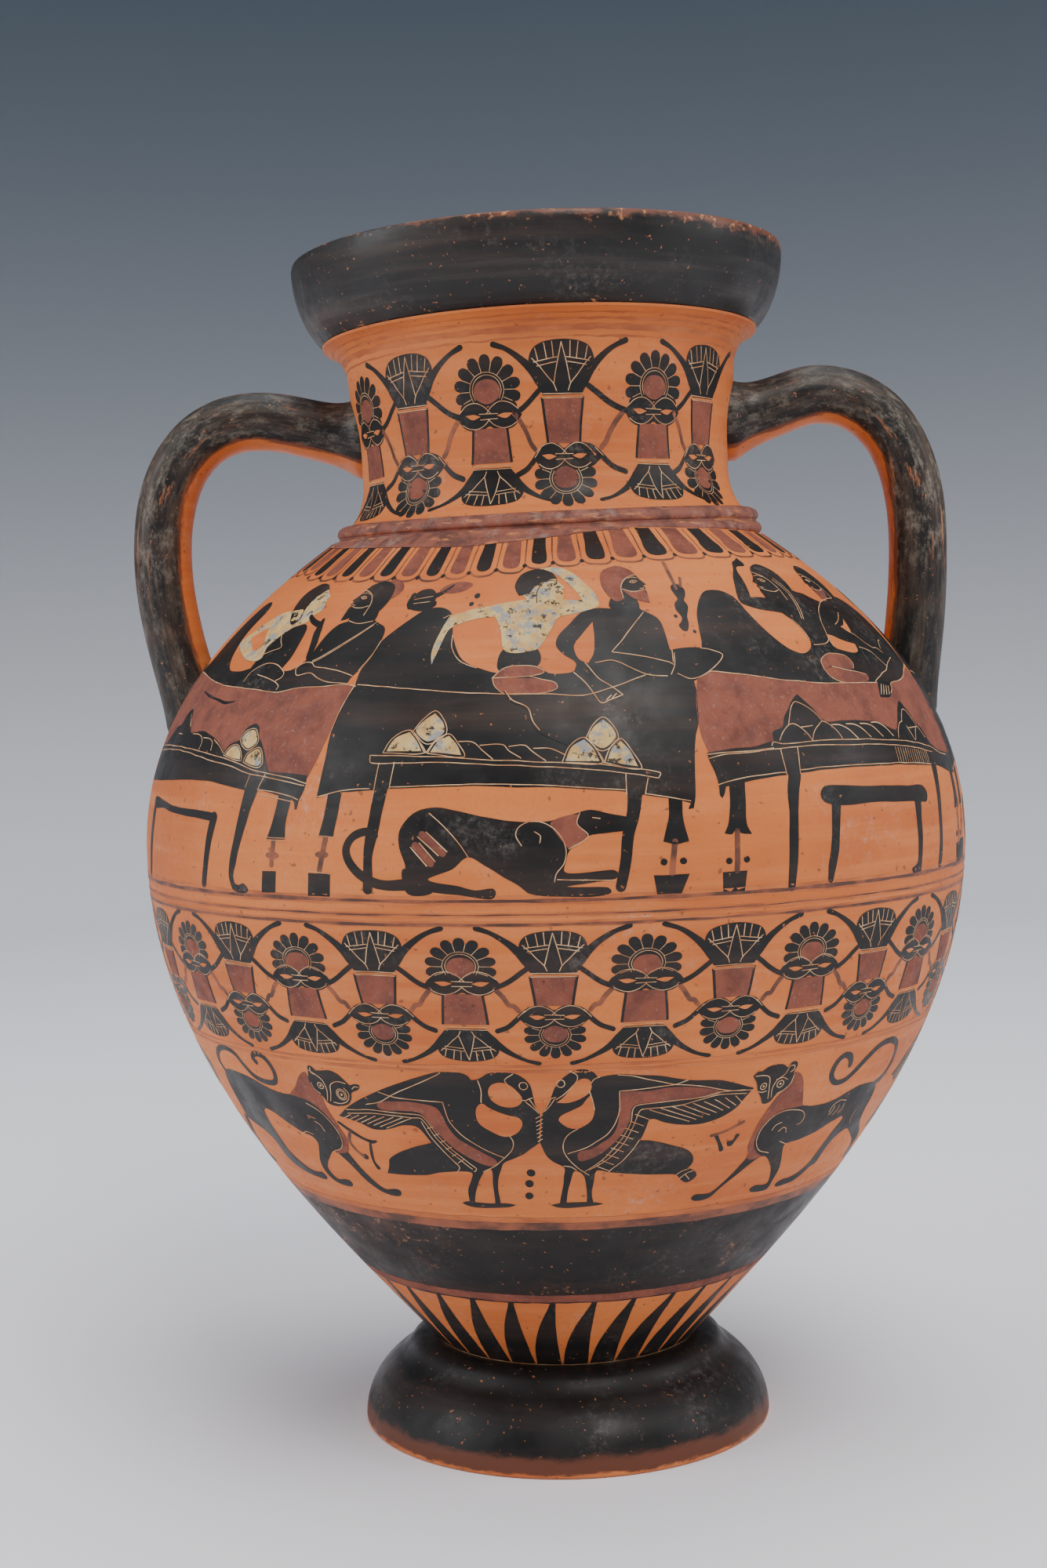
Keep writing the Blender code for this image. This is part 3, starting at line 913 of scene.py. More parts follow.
def couch_centre(p):
    """The middle couch: a pale guest and a bearded one, a laden table, and a hound below."""
    p.fill(
        "black",
        [(-65, 259.5, 1), (-67.3, 252), (-69, 244.5), (-69, 237), (-69.5, 230), (-70, 223.3, 1),
         (-66, 224.9), (-60, 225.4), (-53, 225.8), (-46.5, 226.2), (-30, 226.7), (-20, 226.8), (-10, 226.2),
         (0, 226), (10, 225.2), (19.5, 224.2), (25.5, 223), (35, 221.2), (38, 220.3, 1), (37.2, 218.6),
         (38.7, 218.8, 1), (39.5, 222), (40.2, 230), (42, 240), (43.6, 244), (44.5, 249), (45.3, 254),
         (45.4, 258, 1), (51.1, 260.9, 1), (58.6, 267, 1), (55, 269.1), (50, 270.3), (44, 270),
         (40.3, 269.5, 1), (40.3, 279.5), (39, 282.5), (34, 286), (33, 288, 1), (22.5, 286.5, 1),
         (18, 286.7), (11.6, 285), (7.4, 281), (2.8, 275.6), (2.0, 272), (4.2, 268.8), (8.2, 265.4),
         (7.4, 262.6, 1), (6, 262), (-1, 262.2), (-4, 264.5), (-10, 262), (-18.8, 262.9), (-24, 264.7),
         (-29, 267.5), (-31.5, 271), (-34.3, 277, 1), (-36.5, 285.5), (-39.5, 288), (-43.5, 289),
         (-48, 288), (-52, 285), (-57, 280), (-61.3, 275), (-62.5, 270), (-64.8, 264.5)],
    )
    # The pale guest: torso, the arm across the knee and the arm bent back over the head.
    p.fill(
        "cream",
        [(-37, 285, 1), (-31, 287), (-25, 288.3), (-14, 290.5), (-2, 291.5), (8, 290.6), (12, 290.5),
         (11.5, 293), (8.5, 297), (5, 301), (1, 304), (-4, 305.5), (4.5, 306), (9.5, 303.5), (14, 299),
         (17.5, 294), (18.7, 288.5), (18.5, 287.5), (14, 285.8), (9, 284.5), (3, 283), (0, 277.5),
         (-2.5, 273), (-5, 270.5), (-15, 270.3), (-17.5, 279), (-20, 284), (-21.5, 284), (-27, 283.4),
         (-33, 281.5), (-36.5, 279), (-38, 272), (-39.5, 266, 1), (-40.4, 270), (-40, 275), (-38.6, 281)],
        1,
    )
    p.fill("black", [(-15.5, 271), (-4.6, 271), (-3.4, 266), (-10, 261), (-17, 264)], 0)
    head(p, (-2.0, 289.2), 15.5, 1, 0.12, "cream", "black", None, 1, short=True)
    # The bearded guest, his cloak and his foot.
    p.fill("black", [(22.5, 287), (24, 291), (33, 292), (33.4, 286), (28, 285)], 0)
    head(p, (31.5, 290.6), 15.0, 1, 0.08, "black", "red", "red", 1)
    p.fill("clay", [
        (15.2, 281.0, 1), (11.2, 276.4), (8.0, 272.0), (8.2, 269.0), (9.4, 266.6), (12.0, 265.2, 1),
        (14.2, 269), (15.0, 274.4),
    ], 1)
    scratches(
        p,
        [(34.5, 284.5), (30, 279.8), (20.3, 269.2)],
        [(20.3, 269), (28, 267.8), (38.5, 265), (40, 264)],
        [(14.5, 265.3), (20, 266), (26, 263), (31, 260.7), (37, 260)],
        [(41.3, 268.3), (40.5, 264), (38.5, 260.5)],
        [(7.2, 262), (11.0, 258), (13.0, 254.6), (14.9, 251.4), (17.4, 252.3), (20, 253.3), (21.7, 254)],
        [(11.0, 265.4), (14.9, 259.9), (18.3, 257.2), (21.7, 254)],
        [(16.6, 252.4), (18.2, 253.9)],
        [(18.4, 253.0), (19.8, 254.4)],
        [(51.4, 269.9), (55, 269.1), (58.6, 267), (51.1, 260.9), (44.6, 258.8), (40.7, 260.6)],
        [(40.9, 269.4), (40.2, 264.8)],
        [(-64, 259.5), (-45, 257.6), (-25, 255.8), (-5, 255), (9.7, 254.3), (18.3, 256.4), (25.1, 258.8),
         (29.8, 260.6)],
        [(-34.3, 277), (-33.5, 272), (-30, 267.2), (-24, 264.4)],
        [(-39.4, 284.2), (-36.2, 285.6)],
        [(-12.6, 284.4), (-11, 279), (-11.4, 273)],
    )
    p.fill("red", [(-18.5, 260.5), (-15, 264), (-10, 265), (-5, 264.5), (-2.2, 262.5), (-8, 261)], 1)
    p.fill(
        "red",
        [(-18.3, 261), (-17.5, 258), (-14, 255.3), (-2, 255.3), (1.8, 256.8), (1, 258.8), (-3, 260),
         (-10, 260.4)],
        1,
    )
    scratches(
        p,
        [(-18.5, 260.7), (-15, 264), (-10, 265), (-5, 264.5), (-2.2, 262.5), (-7, 261), (-18.3, 260.8)],
        [(-18.3, 260.6), (-17.5, 258), (-14, 255.3), (-2, 255.3), (1.8, 256.8), (1, 258.8), (-3, 260),
         (-7, 261)],
        width=0.34,
        level=2,
    )
    # The long table with its cakes and loaves.
    cake(p, [(-50, 237, 1), (-47.5, 241.5), (-42.3, 244, 1), (-39.2, 240.6), (-37, 237, 1)])
    cake(p, [(-41.4, 243.6), (-38.6, 247.4), (-35, 250, 1), (-31.8, 246.6), (-31.2, 242.4), (-36.6, 239.6)])
    cake(p, [(-36.2, 236.8, 1), (-33.8, 240.6), (-30, 242.5, 1), (-27, 239.4), (-25.3, 235.5, 1)])
    cake(p, [(2.5, 233.2, 1), (4.6, 238), (9, 240.7, 1), (12, 237.4), (13.8, 232.8, 1)])
    cake(p, [(9.4, 240.4), (11.6, 244.4), (15, 246.8, 1), (18, 243.6), (18.8, 240), (14, 236.4)])
    cake(p, [(14.4, 232.8, 1), (16.4, 237.4), (19.5, 240, 1), (22.4, 236.4), (24.5, 230.8, 1)])
    scratches(
        p,
        [(-37, 237), (-39.6, 241), (-42.3, 244)],
        [(-31, 242.3), (-34, 240.8), (-36.6, 237)],
        [(14, 232.8), (12, 237.6), (9, 240.7)],
        [(14.2, 232.8), (16.4, 237.4), (19.5, 240)],
        [(-27, 240.3), (-23, 240), (-20, 237.5), (-17, 234.8)],
        [(-20.8, 239), (-14.3, 239), (-12.5, 237), (-9, 234.8)],
        [(-12.5, 238.4), (-8, 238.7), (-6, 237), (-2, 234)],
        [(-5.5, 237.8), (-1, 237.7), (3.5, 235.5)],
        [(-54, 236.3), (-36, 235.8), (-15, 234.3), (0, 233.4), (10, 232.8), (20, 231.3), (30, 229.5),
         (29.4, 227.9)],
        [(-54, 236.3), (-53.3, 234), (-35, 234), (-10, 232.6), (6.6, 231.4), (21, 229.5), (29.4, 227.9)],
        [(-50.8, 234), (-52, 222)],
        [(-46, 234), (-46.8, 226.3)],
        [(20.2, 229.5), (19.8, 223.5)],
        [(26.3, 228), (25.3, 223.3)],
        [(-69.6, 223.8), (-60, 226), (-53, 226.3)],
        [(-46.5, 226.7), (-20, 227.3), (0, 226.5), (19.5, 224.7)],
        [(25.5, 223.5), (38, 220.9)],
        width=0.38,
    )
    post(p, (-49.2, 228, 4.4), (-49.5, 226, 4.2), (-50.5, 218, 3.6), (-51.5, 212, 3.5),
         (-52.5, 206, 2.6), (-52.7, 197, 3.0))
    post(p, (22.6, 226, 4.6), (22.3, 223.5, 4.3), (21.5, 218, 3.5), (20, 212, 3.3),
         (18.8, 204, 3.0), (17.5, 197, 2.8))
    couch_leg(
        p,
        [(-66, 225.4, 1), (-61.5, 225.6, 1), (-62.6, 218), (-63.5, 212, 1), (-68.5, 212, 1), (-67, 218)],
        [(-66, 211.6), (-68.2, 202)],
        [(-72, 201.2, 1), (-64.5, 201.2, 1), (-65, 194.5, 1), (-72.3, 194.5, 1)],
        dots=False,
    )
    p.dot("brown", (-67.3, 206.8), 4.4, 0, 0.45)
    scratches(p, [(-68.6, 212.3), (-63.4, 211.9)], [(-72, 201.9), (-64.4, 201.2)], width=0.3)
    couch_leg(
        p,
        [(31.6, 222.2, 1), (35.6, 221.2, 1), (35.4, 216.4), (36.8, 209.5, 1), (33, 208.6), (29.5, 209.5, 1),
         (31.2, 216)],
        [(32.8, 209.5), (31.8, 200.5)],
        [(26.7, 200, 1), (36.5, 200, 1), (34.3, 194.5, 1), (27.5, 194.5, 1)],
    )
    hound(p)
    # A small jug held up at the left, its beads of wine, and a crack in the clay.
    p.line("black", [(-46, 290.5), (-50, 289.5), (-55, 291), (-56, 295)], [3.4, 4.2, 4.0, 2.0], 0)
    p.fill("red", [(-45, 296.4), (-42, 299.4), (-36, 300.4), (-31.6, 299), (-34, 296.4), (-39, 295)], 0)
    p.fill("black", [
        (-56, 289), (-52, 288.6), (-46.5, 290), (-45.6, 294.4), (-49, 297.4), (-54.6, 296.2),
    ], 0)
    p.line("black", [(-46.6, 294), (-42.8, 296), (-39.6, 299)], [2.6, 1.6, 0.8], 0)
    scratches(p, [(-54.6, 292.6), (-47, 294)], [(-54.2, 290.8), (-47.4, 291.6)], width=0.32)
    p.dot("black", (-28.5, 293.5), 2.4)
    p.dot("black", (-30, 289.9), 1.9)
    p.line("black", [
        (-14.5, 256), (-12, 252.5), (-7.5, 250), (-6, 246), (-4, 243), (0, 240.5), (5, 238),
    ], 0.3, 4)
    p.line("scratch", [(-14.2, 256.4), (-11.7, 252.9), (-7.2, 250.4), (-5.6, 246.2), (-3.6, 243.3)], 0.3, 4)


def couch_right(p):
    """The right couch: two bearded guests over a red mattress, a table and a stool."""
    seam = [
        (150.9, 257.5), (144.4, 256.2), (135, 255.4), (125, 255.6), (101.4, 255.9), (90, 256.4),
        (80, 257.4), (70, 258.8), (60, 260.4), (52.9, 261.2),
    ]
    mattress = [
        (47.1, 259.5, 1), (45.4, 255.2), (43.9, 247.7), (43.7, 240.6), (44.6, 237), (45.4, 234.4, 1),
        (60, 235.5), (100, 235), (130, 233), (150, 230.5), (166, 229.3, 1), (168, 240), (169, 252),
        (166, 261, 1), *seam,
    ]
    p.fill("red", mattress, 0)
    cover = [
        (51.1, 260.8, 1), (51.8, 270, 1), (52.9, 272.7), (53.9, 277.7), (55.4, 283.1), (57.9, 287.7),
        (61.4, 291.6), (65, 293.8), (69.3, 294.1), (72.9, 293.4), (75.7, 291.6), (77.1, 289.5),
        (77.9, 285.6), (80, 279.9), (82.9, 274.1), (86.4, 269.9), (90, 267.7), (92.9, 267.1), (96.4, 268.1),
        (99.3, 270.2), (100.6, 272.7), (100.4, 276.3), (98.6, 280.6), (95.7, 283.9, 1), (90, 284.5),
        (85.7, 285.2), (81.4, 286.5), (78.2, 288.3), (78.9, 292), (81.4, 296.3), (84.3, 300.6),
        (88.6, 304.9), (91.4, 308.1), (94.3, 309.1), (97.1, 310.6, 1), (98.2, 307.5), (97.1, 306.2, 1),
        (91.4, 305.7), (89.3, 303.1), (88.6, 299.9), (86.8, 294.9), (85, 290.9, 1), (88.6, 290.8),
        (95.7, 290.2), (101.4, 290.1), (104, 291.4), (113, 294.6), (116.6, 293.4), (120.1, 292.7),
        (123, 290.9), (125.1, 289.9, 1), (128, 289), (135.1, 290.4), (143.7, 291.2), (152, 291.4),
        (160, 288), (165, 282), (168, 272), (167.4, 262.4, 1), (157.3, 259.6), *seam,
    ]
    p.fill("black", cover, 1)
    head(p, (101.5, 289.5), 17.5, -1, -0.22, "black", "black", "black", 1)
    head(p, (140.5, 291.0), 16.0, -1, -0.12, "black", "black", "red", 1)
    p.fill("clay", [
        (112.3, 274.5, 1), (115.9, 273.8), (121.6, 271.6), (127.3, 270.4, 1), (125.5, 267.6), (120.9, 267),
        (115.1, 268.1), (111.9, 269.5),
    ], 2)
    p.fill("clay", [
        (126.6, 277.9, 1), (130.1, 278.6), (134.6, 281.2, 1), (132.3, 276.3), (130.5, 275.2),
    ], 2)
    p.fill("red", [
        (98.9, 261.3), (99.6, 264.1), (102.6, 265.9), (106.6, 266.9), (111.6, 266.6), (115.1, 265.6),
        (116.7, 263.1), (115.1, 261), (108.7, 261.2), (103.7, 262.1),
    ], 2)
    p.fill("red", [
        (99.2, 260.8), (100.1, 258.4), (103, 256.6), (107, 255.9), (117.3, 255.9), (121, 256.8),
        (121.2, 258.6), (116, 259.6), (108.7, 260.6), (103.4, 261.6),
    ], 2)
    hand = [
        (128, 257.6, 1), (125.2, 255.4), (123.8, 253.0), (122.5, 250.5), (125, 250.2), (128.5, 250.2),
        (131.5, 251.6), (134, 253.6), (136, 255.6, 1),
    ]
    p.fill("black", hand, 2)
    for step in range(4):
        p.line("scratch", [(127.2 + 1.5 * step, 254.8 - 0.2 * step), (123.6 + 1.9 * step, 251.2)], 0.36, 3)
    scratches(
        p,
        [(51, 260.9), (52.9, 261.2), (60, 260.4), (70, 258.8), (80, 257.4), (90, 256.4), (101.4, 255.9),
         (125, 255.5)],
        [(131, 251.6), (133, 252.9), (135.3, 255.2), (144.4, 256), (150.9, 257.3), (157.3, 259.4),
         (167, 262.2)],
        [(100.9, 270.4), (105.1, 270.4), (109.4, 271.3), (112.3, 272.9)],
        [(111.6, 269.6), (111.6, 272.4), (113.4, 276.3), (115.5, 280.2), (119.4, 284.1), (123.7, 287),
         (128, 288.8), (135.1, 290.2), (143.7, 290.9)],
        [(123.7, 278.6), (129.4, 280.8), (135.1, 284)],
        [(128.7, 276.3), (133, 274.1), (136.6, 270.9), (140.1, 269), (143.7, 268.8), (147.3, 266.6)],
        [(128.7, 269.3), (132.3, 268.4), (135.9, 267), (138.7, 264.1), (140.9, 261.6)],
        [(124.6, 256), (129.4, 257.7), (133.7, 259.1), (138, 259.9), (142.3, 262), (148, 263.8),
         (152.3, 264.9)],
        [(148, 268.4), (152.3, 271.6), (155, 272)],
        [(106.6, 299.1), (108.7, 296.3), (109.1, 292), (107.3, 286.3), (104.4, 281.3)],
        [(108.4, 300), (110.4, 296.4), (110.4, 292), (108.6, 286.3), (105.4, 281.0)],
        [(98.9, 261.2), (99.6, 264.1), (102.6, 265.9), (106.6, 266.9), (111.6, 266.6), (115.1, 265.6),
         (116.7, 263.1), (115.1, 261)],
        [(98.9, 261.2), (100.1, 258.4), (103, 256.6), (106, 255.9)],
        [(103.7, 261.9), (108.7, 260.9), (115.9, 259.7), (121, 258.6)],
        [(100.4, 272.6), (100.2, 277), (98.4, 280.8)],
        width=0.40,
    )
    # The table, its rail and what lies on it.
    p.fill(
        "black",
        [(44.6, 234.8, 1), (45, 232), (46.1, 228.8), (46.8, 225.2), (46.8, 222), (47.5, 221.3),
         (48.2, 222.4), (48.9, 224.5, 1), (54.3, 225.4), (60, 226.4), (69, 227.1), (80, 227.9), (90, 228.3),
         (104.6, 228.1), (119.4, 227.9), (130.1, 227.2), (139.4, 226.6), (145.1, 226.3), (151.6, 225),
         (158.7, 223.4), (166, 222.6, 1), (166.6, 229.4, 1), (160.1, 229.9), (150.9, 231.4), (145.1, 234.1),
         (141.6, 239.1), (139.4, 240.6), (136.9, 244.9), (134.4, 248.4, 1), (133, 248.4), (130.5, 246.6),
         (128, 244.1), (124.4, 239.9), (123, 239.1, 1), (120.1, 239.7), (115.9, 241.3), (112.3, 242.1),
         (105.1, 242.9), (97.1, 243.1), (91.4, 242.9), (89.3, 243.1, 1), (87.5, 244.5), (85.7, 247.4),
         (82.9, 250.6), (81.4, 252.4), (80.4, 252, 1), (77.9, 250.2), (75.7, 247.7), (73.2, 245.2),
         (71.4, 242), (67.5, 240.6), (67, 237.7, 1), (60, 236.3), (52.9, 235.9)],
        1,
    )
    scratches(
        p,
        [(44.6, 234.3), (50, 234.7), (60, 235), (66.4, 235.4)],
        [(66, 236.2), (66.6, 237.3), (70, 236.6), (80, 236.9), (90, 237), (104.3, 236.6), (112.3, 236.1),
         (122.3, 235.6), (132.3, 234.5), (142.3, 232.9), (152.3, 230.2), (159.4, 229)],
        [(45, 233.1), (50, 234.1), (57.9, 234.5), (68.6, 235.2), (80, 235.6), (90, 235.4), (104.6, 234.9),
         (112.3, 234.6), (122.3, 233.8), (132.3, 232.7), (144.4, 230.6)],
        [(46.8, 225.2), (51.4, 226.3), (60, 227.5), (69.1, 227.9)],
        [(74.3, 228.4), (82.9, 228.9), (90, 229.0), (104.6, 228.7), (118, 228.5), (130.1, 227.8),
         (140.1, 226.9)],
        [(68.7, 235), (69.1, 227)],
        [(75, 235.2), (73.9, 227.4)],
        [(69.1, 237.7), (70.7, 239.9), (73.6, 242.4), (75.4, 242.9), (77.5, 242), (80, 239.5),
         (81.3, 237.1)],
        [(81.3, 237.1), (82.9, 239.9), (85.7, 242.1), (87.9, 243.2), (90.7, 241.6), (92.9, 239.1),
         (93.9, 237)],
        [(73.9, 242.7), (75.4, 245.6), (77.1, 248.4), (79.1, 250), (81.4, 249.3), (84.3, 247.4),
         (86.4, 245.2), (87.7, 243.3)],
        [(122.6, 236.4), (124.4, 239.1), (126.9, 241.1), (129.1, 241.6)],
        [(128.7, 241.6), (130.9, 244.1), (133, 245.7), (135.1, 245.2), (138.7, 240)],
        [(130.9, 239.9), (132.3, 237.4), (133.7, 235.2), (135.9, 237.7), (138.7, 239.7), (142.4, 235.6)],
        [(131.6, 239.3), (138.7, 239.5)],
        [(77.9, 241.6), (82.9, 241.9)],
        width=0.38,
    )
    for start in (94.3, 100.9, 107.4, 113.4):
        p.line("scratch", [
            (start - 3.4, 241.9), (start, 241.7), (start + 3, 240.4), (start + 6.4, 237.2),
        ], 0.36, 3)
    for step in range(15):
        place = 118.6 + 1.46 * step
        top = 233.6 - 0.11 * (place - 118)
        p.line("scratch", [(place, top), (place - 0.3, top - 4.6 + 0.03 * step)], 0.20, 3)
    post(p, (72, 230, 4.6), (71.8, 227, 4.3), (70.4, 222, 4.0), (69.9, 216.3, 3.0),
         (69.1, 209.1, 3.2), (68.7, 201.3, 2.9),
         (68, 194.2, 2.5))
    post(p, (143.1, 230.6, 4.6), (142.4, 226.3, 4.0), (141.4, 219.1, 3.2), (140.3, 212, 2.5), (139.8, 204.9, 2.5),
         (139.1, 197.7, 2.9), (138.2, 194.6, 2.3))
    couch_leg(
        p,
        [(50, 225.4, 1), (54.8, 225.8, 1), (54.3, 219.1), (54.3, 213.4), (55.6, 210.6, 1), (52.5, 210.9),
         (50.7, 212), (49.6, 210.7), (47.2, 211.0, 1), (48.6, 214.1), (49.5, 219.1)],
        [(51.2, 211.6), (50.5, 200)],
        [(46.1, 199.9, 1), (53.6, 199.9, 1), (52.7, 193.6, 1), (46.4, 193.6, 1)],
    )
    couch_leg(
        p,
        [(158.4, 224, 1), (162.6, 223.4, 1), (162.4, 217), (163.4, 211.3, 1), (160, 212), (156.6, 211.3, 1),
         (158.2, 217)],
        [(160.2, 212), (159.8, 200)],
        [(156.2, 200.2, 1), (163.2, 200.2, 1), (162.6, 194.1, 1), (156.6, 194.1, 1)],
    )
    stool(
        p,
        [(80, 220.9), (82.1, 223.1), (90, 222.9), (104.6, 222), (119.4, 221.2), (129.4, 220.6),
         (132, 218.3), (130.9, 215.6), (126, 215.8), (118, 216.4), (102.9, 217.1), (87.1, 217),
         (80.9, 218.6)],
        ((85.4, 218, 3.6), (84.2, 209.1, 2.9), (83.6, 204.9, 3.2), (82.5, 199.1, 2.9), (81.8, 195.4, 2.0)),
        ((125, 217, 4.3), (124.3, 210.6, 3.2), (124.4, 203.4, 2.7), (123.9, 197.7, 2.5), (123, 194.6, 3.4)),
    )
    p.fill("black", [
        (119, 195.3), (121.5, 196.6), (124, 198.4), (124.6, 194.4), (123.6, 193.2), (121, 193.2),
    ], 0)
    # The string of weights that hangs on the wall between the couches.
    p.line("brown", [(53, 307.6), (52.4, 300), (52.2, 295)], [2.0, 1.6, 1.4], 0)
    p.line("brown", [(56.4, 300), (54.6, 296)], 1.2, 0)
    p.fill("black", [
        (49.9, 295.4), (51.6, 297), (53.8, 297), (55.6, 294.6), (54.6, 291.6), (53, 289.6), (53.4, 287.2),
        (52.2, 284.6), (51.2, 282.6), (50.6, 279.4), (49, 276.7), (47.4, 276.9), (46.6, 279), (48.2, 280.6),
        (49, 282.6), (47.9, 285.6), (48.6, 288.4), (50.6, 290.2), (50.2, 292.4),
    ], 0)
    p.dot("black", (46.8, 282.9), 1.5)
    p.dot("black", (51.7, 276.3), 1.4)


def stool(p, seat, left_leg, right_leg):
    """A low stool under the table."""
    p.fill("black", seat, 0)
    post(p, *left_leg)
    post(p, *right_leg)


def couch_left(p):
    """The left couch: a pale guest and a bearded one, a table and a stool."""
    seam = [
        (-167.3, 265.4), (-158, 264.2), (-149.4, 262.8), (-139.4, 261.3), (-128, 260), (-118.7, 259.3),
        (-108, 258.5), (-98, 257.5), (-89.4, 258.8), (-78, 259.4),
    ]
    mattress = [
        (-65.5, 259.2, 1), (-66.6, 254.9), (-68.4, 248.4), (-69.4, 244.1), (-70.5, 239.9), (-71.6, 236.3),
        (-73, 232.7), (-74.4, 229.4, 1), (-82.3, 229), (-100, 230.5), (-118, 233.5), (-140, 236.5),
        (-160, 237.5), (-177, 236.5, 1), (-180, 250), (-179, 266, 1), *seam, (-70, 259.7),
    ]
    p.fill("red", mattress, 0)
    p.fill(
        "black",
        [(-176, 265.9, 1), (-170, 270), (-168, 274), (-166.6, 279.9), (-164.4, 286.3), (-161.6, 291.3),
         (-158, 294.9), (-153.7, 295.9), (-149.4, 294.9), (-146.6, 292.7), (-145.9, 289.9), (-146.6, 284.9),
         (-146.6, 280.6), (-144.8, 275.6), (-142.3, 271.3), (-138.7, 267.7), (-135.1, 265.9), (-128, 265.4),
         (-120.1, 266.3, 1), (-118.6, 272), (-117, 278), (-112, 282), (-106.2, 283.4), (-103.7, 284),
         (-101.2, 282.7), (-99.8, 279.9), (-99.1, 274.9), (-99.3, 269.9), (-100.9, 265.9, 1), (-99.1, 265),
         (-95.1, 265.6), (-91.6, 267.7), (-90.4, 269.5, 1), (-89.4, 271.3), (-88.7, 274.9), (-87.3, 279.1),
         (-85.5, 282), (-83.7, 283.4), (-79.8, 284.4), (-74, 285), (-68.7, 284.4), (-65.1, 282.7),
         (-62.3, 281.3), (-61.2, 279.1), (-61.2, 276.3), (-62.6, 270.6), (-65.5, 264.5, 1), (-67.6, 262),
         (-68.4, 259.7, 1), *seam[::-1]],
        1,
    )
    p.line("black", [(-94.3, 285.4), (-93.2, 280.6), (-91.4, 275.4), (-90.2, 270.4)], [
        1.6, 3.4, 3.2, 2.4,
    ], 1)
    p.line("black", [(-103.8, 287.6), (-99.4, 285), (-94.6, 283.4)], [1.4, 2.2, 2.4], 1)
    # The pale guest, one arm bent over the head.
    p.fill(
        "cream",
        [(-144.8, 278.1, 1), (-140.1, 281.3), (-137.3, 283.8), (-132.3, 286.3), (-128, 288.8),
         (-122.3, 290.2), (-118, 290.4), (-112, 290.6), (-104.4, 287.8), (-107.3, 284.1), (-111.6, 281.3),
         (-114.4, 279.1), (-118, 274.9), (-116.8, 270.6), (-119.4, 269.1), (-125.1, 269.6), (-128, 270.2),
         (-132.3, 271.6), (-136.6, 273.1), (-140.9, 274.9), (-144.4, 276.3)],
        2,
    )
    p.fill("clay", [
        (-136.9, 279.1, 1), (-132.3, 281.3), (-128, 283.4, 1), (-125.5, 279.9), (-122.6, 276.3),
        (-124.4, 273.4), (-128.7, 274.5), (-132.3, 276.3),
    ], 3)
    head(p, (-106.0, 286.8), 16.8, 1, 0.42, "cream", "black", None, 1)
    # The bearded guest facing the pale one.
    p.fill("black", [(-80, 283.4), (-79.4, 289), (-69.6, 290), (-68.7, 283.4)], 1)
    p.fill("red", [
        (-76, 300.6), (-71, 302.4), (-65, 301.4), (-62.4, 298), (-64.6, 294.6), (-69, 292), (-72.6, 292.4),
    ], 1)
    head(p, (-77.4, 286.4), 15.5, -1, -0.16, "black", "black", "black", 1)
    scratches(
        p,
        [(-176, 265.8), (-167.3, 265.2), (-158, 264), (-149.4, 262.6), (-139.4, 261.1), (-128, 259.8),
         (-118.7, 259.1), (-108, 258.3), (-98, 257.3), (-89.4, 258.6), (-78, 259.2), (-68, 259.6),
         (-64.6, 259)],
        [(-66.6, 283.3), (-70.9, 279.7), (-78, 274.3), (-83.7, 270.4), (-87.3, 268.6)],
        [(-67.4, 282.2), (-71.4, 278.7), (-78.4, 273.2), (-84.2, 269.4), (-87.6, 267.9)],
        [(-90.5, 268.1), (-87.3, 267.9), (-85.1, 266.3), (-79.4, 265.7), (-72.3, 264.3), (-67.3, 262.7)],
        [(-93.4, 265.6), (-91.6, 263.4), (-85.9, 264), (-80.9, 262), (-75.9, 260.7), (-68, 260)],
        [(-93.4, 265.6), (-92.6, 266.8), (-90.4, 267.9)],
        [(-119.4, 261.3), (-118.4, 264.4), (-115.1, 266.8), (-110.1, 268.2), (-105.1, 267.6),
         (-100.9, 265.9), (-98.4, 264.1), (-98.7, 262.7), (-100.9, 261.6)],
        [(-113, 264), (-107.3, 262.9), (-101.6, 261.4), (-98, 259.5), (-98.4, 258.3)],
        [(-113.7, 279.9), (-111.6, 277.4), (-108.7, 274.5), (-113.7, 273.1), (-118, 271.6)],
        [(-80.1, 284.5), (-74.6, 283.1), (-68.7, 283.9)],
        [(-61.2, 275.6), (-62.6, 270.6), (-65.5, 264.5)],
        width=0.40,
    )
    p.line("black", [(-148.7, 257.9), (-140.1, 256.3), (-133.7, 255.2), (-124.4, 253.8), (-118.7, 254.3)],
           [0.3, 0.9, 0.8, 1.2, 0.3], 1)
